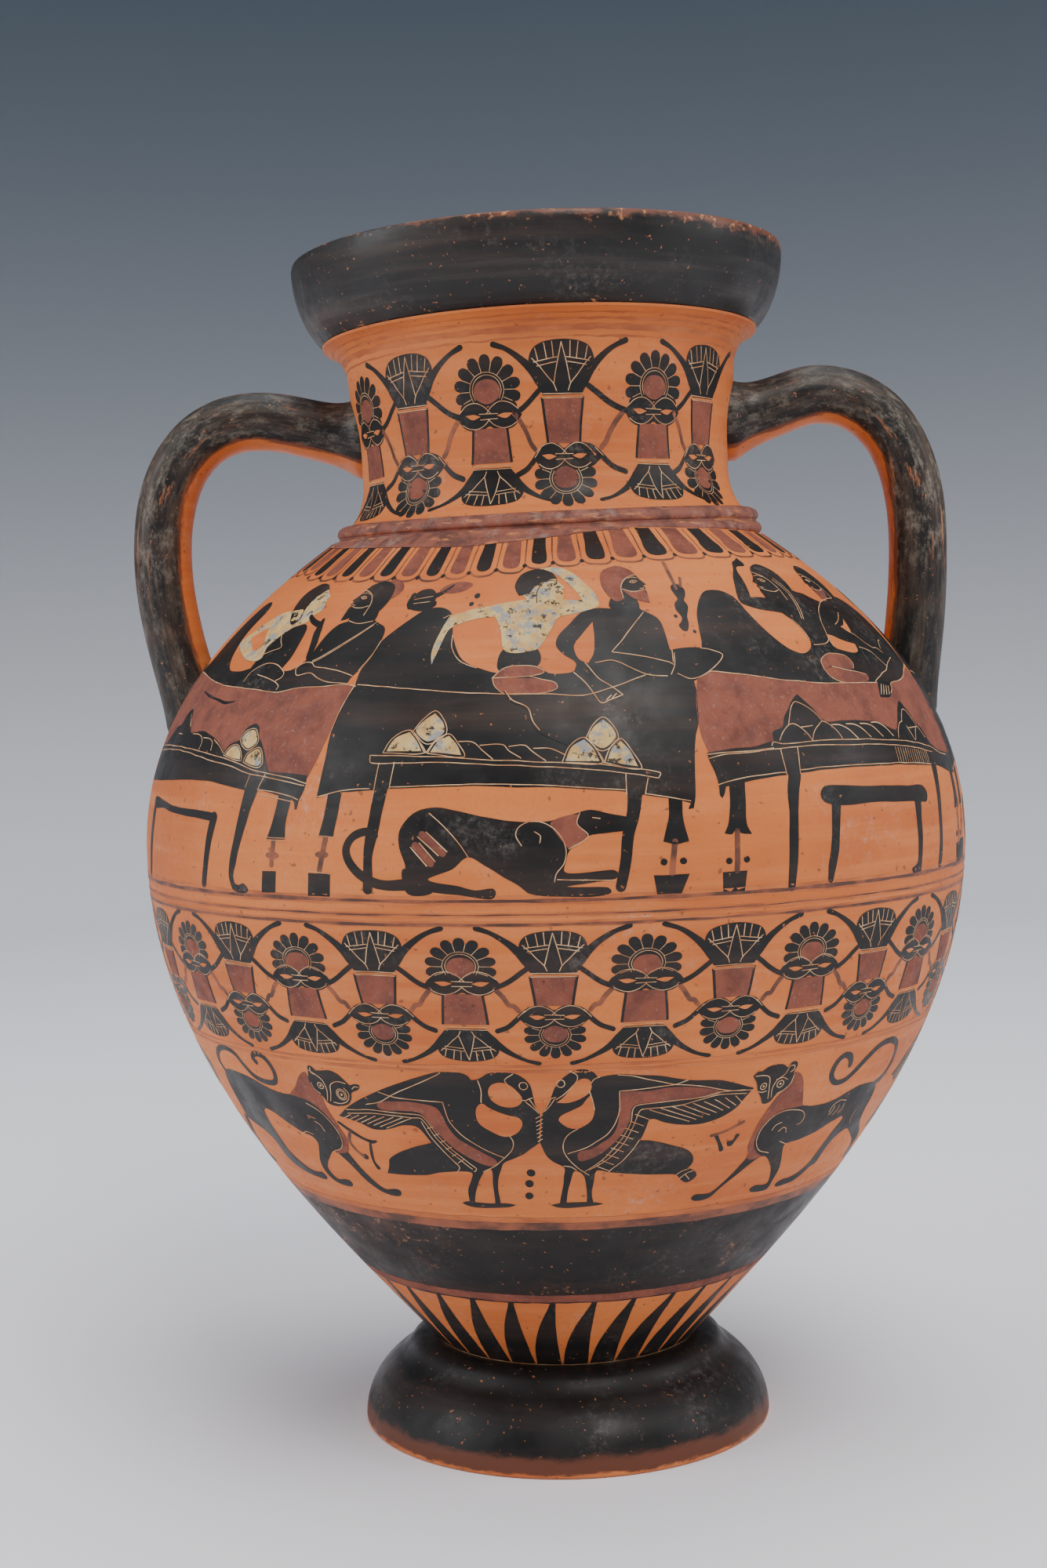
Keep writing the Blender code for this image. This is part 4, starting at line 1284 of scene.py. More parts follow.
    # The rail, the table and its load of cakes.
    p.fill(
        "black",
        [(-74.5, 230.2, 1), (-74.9, 225.6), (-76.2, 222.7), (-76.9, 219.9), (-77.6, 219.9), (-77.9, 222),
         (-79.4, 223.1, 1), (-85.1, 224.1), (-92.3, 225.4), (-98.7, 225.4), (-107.3, 226.4), (-118, 227.6),
         (-128, 227.7), (-136.6, 227.6), (-149.4, 227), (-168.7, 226.3), (-178, 226, 1), (-178, 238, 1),
         (-168.7, 239.9), (-163.7, 242.7), (-160.1, 245.2), (-155.9, 245.9), (-154.8, 249.1), (-153, 250.9),
         (-150.5, 251.3), (-148, 249.1), (-144.4, 245.2), (-141.6, 243.1, 1), (-138, 243.4),
         (-131.6, 243.8), (-126.6, 242.9), (-120.9, 241.3), (-116.6, 239.1), (-113.7, 237, 1),
         (-111.6, 239.5), (-107.3, 240.9, 1), (-106.9, 243.1), (-104.4, 245.8), (-101.2, 246.6),
         (-99.1, 245.2), (-98, 242.4), (-95.1, 239.3), (-93, 236.3), (-91, 232.7), (-89.4, 231.1, 1),
         (-82.3, 230.8)],
        1,
    )
    cake(p, [
        (-113.2, 235.9, 1), (-111.7, 238.2), (-109.4, 239.4), (-107.3, 239.5), (-105.1, 238.1),
        (-103.4, 235.7), (-103.2, 234.3, 1), (-108, 234.9),
    ])
    cake(p, [
        (-107, 241.3), (-106, 243.2), (-103.7, 244.6), (-100.7, 244.8), (-98.9, 243.2), (-97.5, 240.6),
        (-98.8, 238.9), (-101.2, 237.8), (-104.4, 239.0),
    ])
    cake(p, [
        (-102, 233.9, 1), (-101.2, 236.4), (-98.4, 238.2), (-96, 238.6), (-94.3, 236.8), (-93.2, 233.4),
        (-94.4, 232.4, 1), (-98.7, 232.9),
    ])
    scratches(
        p,
        [(-176, 238), (-160.1, 238.4), (-149.4, 238.4), (-138.7, 237.9), (-128, 237), (-117.3, 235.6),
         (-108, 234.3), (-96.6, 231.6), (-86.6, 230.1), (-80.1, 229.1), (-74.4, 227.7)],
        [(-176, 236.2), (-160, 237), (-149.4, 237.2), (-138.7, 236.6), (-128, 235.4), (-117.3, 233.8),
         (-108, 232.7), (-100.9, 230.9), (-89.4, 229.3), (-75.1, 227.1)],
        [(-92.6, 225.6), (-85.9, 224.9), (-79.4, 223.8), (-76.6, 222.8)],
        [(-92.3, 224.3), (-79.1, 222.3)],
        [(-97.6, 230), (-98.7, 226.3)],
        [(-90.9, 230.2), (-93, 225.6)],
        [(-139.1, 242.9), (-134.4, 242.7), (-130.9, 241.6), (-129.4, 239.9), (-129.8, 237.7)],
        [(-129.4, 241.6), (-125.1, 241.4), (-122.3, 240.2), (-121.6, 237.4)],
        [(-121.6, 241.1), (-117.3, 239.1), (-113.7, 236.6)],
        [(-154.4, 242.7), (-149.8, 242.6)],
        [(-149.4, 249.5), (-144.4, 245.2)],
        [(-65, 259.5), (-67.3, 252), (-69, 244.5)],
        width=0.38,
    )
    post(p, (-95.6, 227, 6.0), (-95.9, 225.6, 5.8), (-97.1, 220.6, 4.6), (-98.5, 214.9, 3.9), (-100.3, 209.1, 3.2),
         (-101.9, 203.4, 2.9), (-102.9, 199.1, 2.0), (-101.8, 195.6, 1.8))
    p.fill("black", [
        (-103.4, 198), (-102.6, 195.2), (-100.6, 194.3), (-97, 194.2), (-95.3, 195.2), (-97.3, 197.2),
        (-100, 196.6), (-102, 197.4),
    ], 0)
    couch_leg(
        p,
        [(-84.1, 224.4, 1), (-79.2, 223.6, 1), (-80.4, 216), (-80.5, 210.9, 1), (-87.6, 210.9, 1),
         (-85.9, 214.9), (-85, 219)],
        [(-84.8, 210.4), (-85.4, 203.2)],
        [(-89.1, 201.3, 1), (-83.7, 201.3, 1), (-84.4, 194.9, 1), (-89.8, 194.9, 1)],
        dots=False,
    )
    p.dot("brown", (-85.1, 206.1), 5.0, 0, 0.42)
    scratches(p, [(-87.6, 211.4), (-80.5, 211.3)], [(-87.6, 210.6), (-80.5, 210.5)], width=0.3)
    stool(
        p,
        [(-162.2, 220.9), (-153, 220.7), (-140.1, 219.1), (-128, 218.6), (-117.3, 218.3), (-111.4, 217.6),
         (-110.4, 216.2), (-111.6, 215.0), (-115.1, 215.6), (-128, 216.3), (-140.1, 217), (-149.4, 217.9),
         (-161.6, 217.6)],
        ((-160.1, 219.6, 3.5), (-161.4, 212, 3.6), (-162.8, 204.9, 3.6), (-164.8, 197.7, 3.0), (-166, 195.6, 2.4)),
        ((-112.1, 216.6, 3.6), (-114.1, 209.1, 2.9), (-115.7, 202, 2.5), (-117.2, 195.9, 2.5)),
    )


def shoulder_line(u):
    """The height of the line under the tongues: the shoulder was thrown a little askew."""
    turned_by = math.degrees(u / BODY_REFERENCE)
    knots = [
        (-180, 309), (-112, 308), (-65, 307), (-43, 303), (-21.7, 301), (-8.7, 303), (0, 306), (8.7, 307),
        (21.7, 309), (43, 311), (65, 312.6), (112, 311), (180, 309),
    ]
    return float(np.interp(turned_by, *zip(*knots)))


def make_frieze():
    """The three couches of the front, and copies of them round the sides and the back."""
    p = Picture("banquet", BODY_WALL)
    couch_left(p)
    couch_centre(p)
    couch_right(p)
    copies = ((couch_centre, 234.0), (couch_right, 244.0), (couch_left, AROUND - 234.0), (couch_centre, 598.0))
    for couch, shift in copies:
        p.move(shift, 0.0)
        couch(p)
    p.done()


# ---------------------------------------------------------------- the chains of lotus and palmette

NECK_CHAIN = {
    "foot": -1.4, "tall": 1.03, "crown": 34.0, "lotus_stem": (19.4, 33.4), "lotus_knot": 11.0,
    "lotus_heart": 8.4,
    "fan": 0.86, "hung_fan": 0.80, "hung_crown": 12.9, "palmette_stem": (14.4, 25.0), "palmette_knot": 24.3,
    "palmette_heart": 36.6, "cup": 0.98,
}
BODY_CHAIN = {
    "foot": 143.2, "tall": 0.848, "crown": 34.0, "lotus_stem": (22.6, 33.4), "lotus_knot": 14.0,
    "lotus_heart": 11.6,
    "fan": 0.80, "hung_fan": 0.72, "hung_crown": 14.0, "palmette_stem": (15.6, 27.0), "palmette_knot": 26.2,
    "palmette_heart": 36.9, "cup": 0.89,
}


def mirrored(points):
    """The points, then their mirror images in the opposite order."""
    return list(points) + [(-x, *rest) for x, *rest in points[::-1] if abs(x) > 0.01]


def both_sides(*paths):
    """Each path and its mirror image."""
    return [[(side * x, *rest) for x, *rest in path] for path in paths for side in (-1, 1)]


def polar(angle, reach):
    return (reach * math.cos(math.radians(angle)), reach * math.sin(math.radians(angle)))


def crown(p, size):
    """A lotus flower: two sepals spread from a cup of upright petals."""
    cup = [
        (-6.4, 0, 1), (-7.5, 3), (-9.3, 6.3), (-10.4, 9.5), (-10.3, 12.4), (-8.8, 15.2), (-6, 16.7),
        (-3, 17.3), (0, 17.5),
    ]
    p.fill("black", mirrored([(x * size, y * size, *rest) for x, y, *rest in cup]), 0)
    for sepal in both_sides([
        (6.0, 0.8), (7.6, 4.5), (10.2, 9.0), (13.6, 12.4), (17.2, 15.0), (20.8, 16.6),
    ]):
        p.line("black", sepal, [0.8, 2.2, 2.5, 1.9, 1.5, 1.9], 0)
    petals = both_sides(
        [(9.4, 11.8), (7.3, 9.5), (4.9, 6.3), (2.7, 3.6), (1.9, 1.4)],
        [(0, 16.6), (1.4, 10.4), (2.6, 3.9)],
        [(1.5, 11.9), (8.9, 10.6)],
        [(1.8, 10.4), (7.9, 9.3)],
        [(8.3, 15.0), (7.5, 10.9)],
        [(5.4, 16.4), (4.7, 11.2)],
        [(2.9, 16.8), (2.6, 11.7)],
    )
    scratches(
        p,
        *[[(x * size, y * size) for x, y in petal] for petal in petals],
        [(-6.5, 0.5), (6.5, 0.3)],
        [(-6.4, -0.8), (6.4, -0.9)],
        width=0.38,
        level=2,
    )


def palmette(p):
    """A fan of leaves round a red heart."""
    leaves = [90 + side * turn for turn in (26, 52, 78, 103, 124) for side in (-1, 1)] + [90]
    for angle in leaves:
        p.line("black", [polar(angle, 4.0), polar(angle, 9.2), polar(angle, 10.8)], [2.8, 4.4, 4.0], 0)
    p.fill("black", [polar(angle, 10.2) for angle in range(-38, 219, 32)] + [(0, -5.5)], 0)
    p.fill("red", mirrored([(0, 3.9), (-3.2, 3.1), (-5.0, 0.4), (-4.5, -2.4), (-2.2, -4.2), (0, -4.8)]), 1)
    scratches(
        p,
        [polar(angle, 5.5) for angle in range(-34, 215, 31)],
        [polar(angle, 6.5) for angle in range(-34, 215, 31)],
        *[[polar(90 + side * turn, 6.7), polar(90 + side * turn, 10.2)]
          for turn in (13, 39, 65, 90.5, 113.5) for side in (-1, 1)],
        width=0.30,
        level=2,
    )


def knot(p):
    """The tie between stem and fan: two pairs of lobes with a clay eye in each side."""
    p.fill(
        "black",
        [(-12.0, 4.4, 1), (-9.8, 7.2), (-7.2, 8.8), (-4.6, 9.4), (-2.2, 8.6), (0, 7.2), (2.2, 8.6),
         (4.6, 9.4), (7.2, 8.8), (9.8, 7.2), (12.0, 4.4, 1), (9.4, 1.2), (5.5, 0.0), (2.2, 0.4), (0, 1.4),
         (-2.2, 0.4), (-5.5, 0.0), (-9.4, 1.2)],
        0,
    )
    for side in (-1, 1):
        p.fill("clay", [
            (side * 3.0, 4.6, 1), (side * 5.6, 5.3), (side * 8.8, 5.1, 1), (side * 6.2, 3.7),
        ], 1)
    scratches(
        p,
        *both_sides(
            [(10.8, 6.2), (8.0, 8.2), (4.6, 8.8), (1.6, 7.6), (-0.8, 5.4)],
            [(10.2, 2.4), (7.8, 1.1), (5.0, 0.7), (2.0, 1.7), (-0.4, 3.7)],
        ),
        [(-3.4, 5.4), (3.4, 5.2)],
        [(-3.2, 3.6), (3.2, 3.7)],
        width=0.34,
        level=2,
    )


def stem(p, low, high, half_low, half_high):
    """A red stem with a black edge."""
    for finish, edge, level in (("black", 0.7, 0), ("red", -0.1, 1)):
        corners = [(-half_low - edge, low, 1), (-half_high - edge, high, 1)]
        p.fill(finish, mirrored(corners), level)


def lotus_column(p, chain, along):
    """A lotus that stands on a hanging palmette."""
    foot, tall = chain["foot"], chain["tall"]
    p.move(along, foot, 1.0, tall)
    stem(p, *chain["lotus_stem"], 4.9, 6.2)
    p.move(along, foot + chain["lotus_heart"] * tall, -chain["hung_fan"], -tall * chain["hung_fan"])
    palmette(p)
    p.move(along, foot + chain["lotus_knot"] * tall, 0.84, tall * 0.96)
    knot(p)
    p.move(along, foot + chain["crown"] * tall, 1.0, tall * 0.98)
    crown(p, chain["cup"])


def palmette_column(p, chain, along):
    """A palmette that stands on a hanging lotus."""
    foot, tall = chain["foot"], chain["tall"]
    p.move(along, foot, 1.0, tall)
    stem(p, *chain["palmette_stem"], 6.4, 5.4)
    p.move(along, foot + chain["palmette_heart"] * tall, chain["fan"], tall * chain["fan"])
    palmette(p)
    p.move(along, foot + chain["palmette_knot"] * tall, 0.90, tall)
    knot(p)
    p.move(along, foot + chain["hung_crown"] * tall, -1.0, -tall * chain["hung_crown"] / 17.2)
    crown(p, chain["cup"])


def tendrils(p, chain, lotus, palmette_at):
    """The strands that tie a lotus column to the palmette column beside it."""
    shift = chain["lotus_knot"] - 11.0
    p.move(lotus, chain["foot"], (palmette_at - lotus) / 31.8, chain["tall"])
    p.line("black", [(8.4, 36.6), (11.5, 34.3), (14.5, 32), (17.5, 30.3), (21.5, 28.9), (25, 28.5)], 1.8, 0)
    p.line("brown", [
        (20.2, 28.6), (17.7, 25.8), (15.7, 22.8), (14.2, 19.6 + shift), (12.6, 17.8 + shift),
    ], 1.7, 0)
    p.line("black", [
        (4.5, 18.8 + shift), (8.5, 18.2 + shift), (11, 16.7 + shift), (13.5, 14.2 + shift),
        (16.5, 11.8 + shift), (20.5, 10.2 + shift),
    ], 1.8, 0)
    p.line("black", [(5, 12.4 + shift), (8.6, 12.9 + shift), (11.4, 15 + shift)], 1.9, 0)
    scratches(p, [(10.3, 17.9 + shift), (12.9, 15.3 + shift)], width=0.38, level=2)


def make_chains():
    """The chain on the neck, the same front and back, and the even chain round the belly."""
    p = Picture("neck_chain", NECK_WALL, 0.14)
    half_round = math.pi * NECK_REFERENCE
    lotuses = (-46.0, 6.5, 61.5)
    palmettes = (-72.0, -17.5, 38.0)
    for shift in (0.0, half_round):
        for lotus in lotuses:
            lotus_column(p, NECK_CHAIN, lotus + shift)
            for palmette_at in palmettes:
                if abs(palmette_at - lotus) < 40:
                    tendrils(p, NECK_CHAIN, lotus + shift, palmette_at + shift)
        for palmette_at in palmettes:
            palmette_column(p, NECK_CHAIN, palmette_at + shift)
    for low, high in ((51.4, 52.0), (53.6, 55.6), (57.0, 58.0), (59.6, 60.2)):
        p.band("wash", low, high, 0, 0.6)
    p.done()

    p = Picture("body_chain", BODY_WALL, 0.18)
    period = AROUND / COLUMN_PAIRS
    for turn in range(COLUMN_PAIRS):
        lotus = turn * period - 1.2
        lotus_column(p, BODY_CHAIN, lotus)
        palmette_column(p, BODY_CHAIN, lotus + period / 2)
        for side in (-0.5, 0.5):
            tendrils(p, BODY_CHAIN, lotus, lotus + side * period)
    p.done()


# ---------------------------------------------------------------- tongues, lines, bands and rays

def make_tongues():
    """Black and red tongues round the shoulder, each in its own thin outline, over a scalloped line."""
    p = Picture("tongues", BODY_WALL, 0.25)
    skirt = [
        (-190, 327.0, 1), (-160, 324.4), (-119, 321.8), (-74, 319.8), (-46, 318.6), (-22, 320.0),
        (0, 322.2), (19, 324.6), (46, 327.0, 1), (46, 327.6, 1), (-72, 327.6), (-190, 327.6, 1),
    ]
    p.fill("ring", skirt, 4)
    places = [-130, -116, -103, -90, -77, -65, -52, -41, -29, -17, -4, 8, 22, 37, 53, 70, 88, 105, 123, 141]
    left = places[0] + AROUND - places[-1]
    spare = 38
    places += [places[-1] + left * (i + 1) / (spare + 1) for i in range(spare)]
    places.append(places[0] + AROUND)
    edges = [(a + b) / 2 for a, b in zip(places, places[1:])]
    edges.insert(0, edges[-1] - AROUND)
    for i, (left_edge, right_edge) in enumerate(zip(edges, edges[1:])):
        middle = (left_edge + right_edge) / 2
        half = (right_edge - left_edge) / 2 - (2.7 if i % 2 == 0 else 2.3)
        low = shoulder_line(middle)
        end = low + 2.6
        tongue = [
            (-half * 0.78, 327.3, 1), (-half * 0.86, 320), (-half, end + 4.4), (-half * 0.84, end + 1.1),
            (0, end),
        ]
        outline = [(x + middle, *rest) for x, *rest in mirrored(tongue)]
        p.fill("black" if i % 2 == 0 else "red", outline, 0)
        p.line("brown", [(left_edge, 326.8), (left_edge, 320), (left_edge, low + 4)], [0.4, 0.7, 0.5], 0)
        scallop = [
            (left_edge, low + 3.2), (left_edge + 2.2, low + 0.9), (middle, low + 0.2),
            (right_edge - 2.2, low + 0.9), (right_edge, low + 3.2),
        ]
        p.line("brown", scallop, [0.5, 0.8, 0.9, 0.8, 0.5], 0)
        p.dot("black", (left_edge, low + 2.0), 2.0, 1, 0.9)
    p.done()


def make_bands():
    """The lines and bands round the body, and the rays over the foot."""
    p = Picture("bands", BODY_WALL, 0.2)
    for low, high in ((186.2, 187.8), (189.0, 190.2), (192.6, 195.2), (140.4, 141.4), (142.2, 143.0)):
        p.band("wash", low, high, 0, 0.35)
    p.band("brown", 186.4, 187.2, 1, 0.30)
    p.band("brown", 189.5, 189.9, 1, 0.30)
    p.band("brown", 193.2, 194.2, 1, 0.40)
    p.band("scratch", 0.1, 0.7, 2, 0.15)
    p.band("worn", 42.0, 77.0, 0, 0.3)
    p.band("brown", 76.6, 80.2, 1, 0.4)
    p.band("wash", 80.0, 82.6, 0, 0.5)
    p.band("red", 38.4, 42.3, 1, 0.4)
    p.band("black", 37.6, 38.6, 0, 0.4)
    period = AROUND / RAYS
    for turn in range(RAYS):
        along = turn * period - 1.5
        wander = 1.6 * noise.noise(Vector((turn * 0.7, 4.0, 1.0)))
        ray = [
            (-1.8, -0.6, 1), (0.6, 10), (6.8, 22), (15.6 + wander, 34.6), (17.4 + wander, 38, 1),
            (20.6 + wander, 38, 1), (20.2 + wander, 34), (19.6, 22), (20.2, 10), (21.6, -0.6, 1),
        ]
        p.fill("black", [(along + x, *rest) for x, *rest in ray], 0)
    p.done()


# ---------------------------------------------------------------- the animal frieze

def ring(p, centre, across):
    """An incised circle."""
    x, y = centre
    path = [(x + dx, y + dy) for dx, dy in (polar(angle, across / 2) for angle in range(0, 360, 45))]
    p.line("scratch", path, 0.28, 3, closed=True)


def strokes(p, first, last, count, reach, width=0.27):
    """A row of short strokes, from one place to another, each running to its own reach."""
    for i in range(count):
        t = i / max(1, count - 1)
        x, y = (first[k] + (last[k] - first[k]) * t for k in (0, 1))
        dx, dy = (reach[0][k] + (reach[1][k] - reach[0][k]) * t for k in (0, 1))
        p.line("scratch", [(x, y), (x + dx, y + dy)], width, 3)


def left_swan(p):
    """A swan with raised wings that faces right."""
    p.fill(
        "black",
        [(-79.5, 121.4, 1), (-72, 126.6), (-65, 130.2), (-60, 132.5), (-50, 136.4), (-40, 139.8),
         (-36, 140.5), (-31, 140.4), (-28.5, 139.4), (-27.6, 137.8, 1), (-25.4, 138.2), (-22, 140.3),
         (-18, 140.7), (-14, 140.2), (-11, 138.5), (-9.3, 136), (-8.7, 132), (-8.2, 129), (-6.6, 125, 1),
         (-7.2, 120), (-7.6, 114.8, 1), (-11, 112), (-13, 110.3), (-17, 108.3), (-20.6, 106.6), (-22, 104),
         (-23.6, 100), (-24.6, 95), (-24.6, 89, 1), (-26.8, 89, 1), (-26.2, 97), (-25.4, 102), (-25.8, 104),
         (-28, 103), (-30.2, 100), (-32, 97), (-33.8, 93), (-35, 89, 1), (-37.2, 89, 1), (-36.2, 95),
         (-34.2, 98.6), (-33, 102), (-36, 102.6), (-45, 101.6), (-52, 100), (-60, 99.5), (-68.6, 99.2, 1),
         (-66.4, 102.5), (-65, 105.5), (-62, 107.5), (-57, 110), (-50, 112.4), (-45.6, 113.8, 1),
         (-48, 118.5), (-49.5, 119.8), (-51, 120.1), (-55, 119.8), (-59, 118.5), (-63, 117.5), (-67, 117.6),
         (-71, 119.3)],
    )
    p.fill("clay", [
        (-22.6, 134), (-21.5, 136), (-19, 137), (-16, 136.4), (-13.6, 134.2), (-12, 131.4), (-13, 129.3),
        (-16, 128.3), (-19.5, 128.9), (-22, 131),
    ], 1)
    p.fill("clay", [
        (-27.6, 124.4), (-27, 128), (-25, 129.6), (-23, 128), (-20, 126.4), (-17, 125.4), (-14, 124.6),
        (-12.8, 123), (-13, 121), (-15, 118.5), (-18, 117.3), (-20.5, 117.6), (-24, 119.5), (-26.8, 121.8),
    ], 1)
    p.fill("red", [
        (-62, 126.5), (-61, 128.3), (-56, 129), (-50, 129.3), (-45, 128.7), (-41, 127.5), (-39.3, 125),
        (-38, 120.4), (-35.5, 116.2), (-31, 112.8), (-27, 110.2), (-23.5, 108), (-23, 106.5), (-24, 105.3),
        (-28, 105.8), (-33, 108.5), (-37, 111.5), (-40, 115), (-43.5, 120), (-45.5, 124), (-47.5, 125.5),
        (-53, 125.7), (-60, 125.3),
    ], 1)
    scratches(
        p,
        [(-66, 127), (-60, 128.7), (-55, 131.5), (-45, 136), (-38, 139.5), (-37, 140.2)],
        [(-60, 132.2), (-55, 130.7), (-50, 130.3), (-38, 129.6, 1), (-37.7, 126), (-37, 122.5),
         (-34.5, 118.5), (-31, 115), (-27.5, 112.5), (-23, 110), (-20, 108.7, 1), (-24, 105.5),
         (-28.7, 102.8)],
        [(-25.5, 137.7), (-24.8, 134), (-25.2, 130)],
        [(-20, 108.7), (-17, 112), (-16.3, 115), (-17.3, 117.7)],
        [(-75, 124.2), (-66, 125), (-55, 124.7), (-47, 124.5), (-45.3, 123), (-42, 116.5), (-38, 111),
         (-33, 106), (-31, 104), (-32, 102.8)],
        [(-75, 122.8), (-65, 123.7), (-50, 123.3), (-46.7, 123.1), (-43.3, 116.3), (-40, 111.4),
         (-35, 106.1), (-32.6, 103.9)],
        [(-47, 122), (-45.4, 117), (-42.4, 111.6), (-39.2, 107), (-37.4, 104.3), (-38.8, 102.2)],
        [(-14.4, 140.1), (-17, 138), (-16, 136), (-14.5, 133), (-11.5, 130.8), (-9.8, 131.4), (-9.0, 131.6)],
        [(-11, 130.2), (-8.8, 127.9), (-7.2, 126.2)],
        [(-9.9, 131.2), (-8.3, 128.4), (-7.2, 126.8)],
        width=0.42,
    )
    ring(p, (-11.4, 136), 2.6)
    strokes(p, (-50.5, 123.1), (-74, 122.4), 8, ((-10.5, -4.6), (-4.0, -1.8)))
    strokes(p, (-45.4, 119.6), (-37.4, 106.2), 6, ((2.2, 0.6), (2.2, 1.4)))
    p.fill("black", [
        (-40.5, 88.6, 1), (-38, 89.5), (-34, 89.1), (-28, 88.9), (-22, 89.1), (-18.6, 88.4, 1), (-21, 87.5),
        (-26, 87), (-34, 86.6), (-38.6, 87.4),
    ], 0)


def right_swan(p):
    """A swan with raised wings that faces left."""
    p.fill(
        "black",
        [(-6.4, 125, 1), (-4.5, 128.8), (-3, 132), (-1.9, 135), (0.3, 138), (2.5, 139.9), (5, 141.3),
         (8, 141.2), (10.5, 139.8), (11.4, 138.2, 1), (14, 138.9), (19, 139.1), (25, 138.5), (31, 137.8),
         (40, 135.7), (47, 134.9), (52, 134.3), (57, 132.8), (62, 131), (64.4, 130.2), (63.6, 129.2),
         (62, 127), (61, 125.5), (59.5, 123.5), (56, 121.2), (51, 119.4), (47, 118.8), (40, 119.2),
         (34, 120.8), (30.5, 122.3), (28.8, 122.2, 1), (27.6, 117), (26.6, 114.4, 1), (31, 113.8),
         (38, 111.6), (44, 109.3), (47.3, 106.5), (48.2, 103.5), (47, 101.2, 1), (50, 99.8), (51.5, 97.5),
         (49.5, 95.3), (47.5, 95), (45, 96.6), (43, 98.6), (40.5, 99.3), (33, 99.8), (25, 100.8), (17, 102),
         (12.2, 102.8), (11.6, 98), (11, 92.5), (11.8, 89, 1), (9.2, 89, 1), (9, 95), (8, 100),
         (6.6, 102.2), (4.2, 103), (3, 99), (2, 95), (1.2, 89, 1), (-1.4, 89, 1), (0, 96), (0.5, 101),
         (0.7, 104.4), (-3, 107), (-5, 109), (-6.3, 111.5), (-7.4, 114.8, 1), (-6.6, 120)],
    )
    p.fill("clay", [
        (-1.4, 129.8, 1), (1, 131.9), (3, 134.7), (5, 137.2), (7, 138.1), (9, 137.4), (9.6, 135.2),
        (8.8, 133), (6, 131), (2, 129.7),
    ], 1)
    p.fill("clay", [
        (-0.8, 123.5), (0.3, 125.2), (3.5, 127), (6.5, 128.7), (8, 130.7), (9.4, 132), (10.4, 129),
        (10.6, 126), (9.8, 123), (8, 121.3), (5.5, 120), (2.5, 120.3), (0.4, 121.8),
    ], 1)
    p.fill("red", [
        (18.8, 132.7), (27, 132.8), (35, 133.5), (42, 133), (48, 131.8), (52, 130.8), (52.3, 129.6),
        (45, 128.8), (35, 128.7), (27, 128.4), (23.5, 127.8), (22.5, 126.5), (22.3, 122), (21, 118.5),
        (18, 114.5), (15, 111.2), (12, 109), (8, 107.3), (6, 107.2), (5.3, 109), (6, 111), (10, 112),
        (14, 114.5), (17, 117.5), (18.4, 121), (18.6, 127),
    ], 1)
    scratches(
        p,
        [(17.5, 139), (22, 138.5), (27, 137), (32, 135.5), (36, 134.5), (44, 133.3), (53, 131), (57, 130.2),
         (64, 129.6)],
        [(40, 135.7), (36, 134.5), (27, 133.8), (18.4, 133.3, 1), (18.7, 127), (17.5, 121.5), (15, 117.5),
         (12, 115), (8, 112.5), (2, 110.2)],
        [(61, 130), (53, 130.3), (45, 129), (35, 128.5), (24.5, 127.8), (23, 126.5), (22.7, 121),
         (20.5, 116), (16, 109.5), (12.5, 106), (9, 103.5), (8, 102.8)],
        [(62, 128.6), (52, 129.3), (45, 128.1), (38, 126.6), (26, 126.2), (25, 125), (23.8, 120),
         (21.5, 114.5), (17.5, 109), (13, 105.4), (9.5, 103.4)],
        [(26.3, 114.5), (24.5, 111), (21, 106.5), (17.5, 103.2), (16.8, 102.3)],
        [(5.5, 120), (2, 117.5), (0.5, 114.5), (0.7, 111), (2.5, 107.5), (5, 104.8), (8, 102.3),
         (9.5, 101.2)],
        [(0.5, 105.3), (3, 104.8), (5, 103.4)],
        [(8.9, 133.6), (9.9, 130.4), (10.6, 127)],
        [(9.4, 136.4), (10.4, 137.8), (12, 138.6)],
        [(3, 140.9), (5, 139.6), (5.2, 138), (4, 136), (1, 132.8), (-1.5, 131)],
        [(-1.6, 131.8), (-3.4, 131.4)],
        [(-2.0, 131.1), (-3.6, 128.6), (-5.2, 126.8)],
        [(-3.2, 131.2), (-4.6, 128.4), (-5.8, 126.4)],
        [(42.8, 98.9), (45, 100.3), (47.4, 101)],
        [(44.6, 97.2), (47, 99.2), (49.4, 100)],
        [(46.6, 98.6), (48.6, 96.4)],
        width=0.42,
    )
    ring(p, (0.1, 136.7), 2.6)
    strokes(p, (28.5, 125.9), (58, 128.2), 9, ((14.5, -5.6), (3.4, -3.0)))
    strokes(p, (24.0, 124.4), (12.5, 104.6), 9, ((4.6, -2.0), (4.2, -1.8)))
    strokes(p, (-8.2, 124.2), (-8.0, 115.4), 7, ((2.3, 1.3), (1.5, 0.9)), 0.26)
    p.fill("black", [
        (-5, 88.4, 1), (0, 89.4), (8, 89.4), (13, 89.1), (15.8, 88.4, 1), (13, 87.8), (5, 87), (-2, 87.2),
    ], 0)


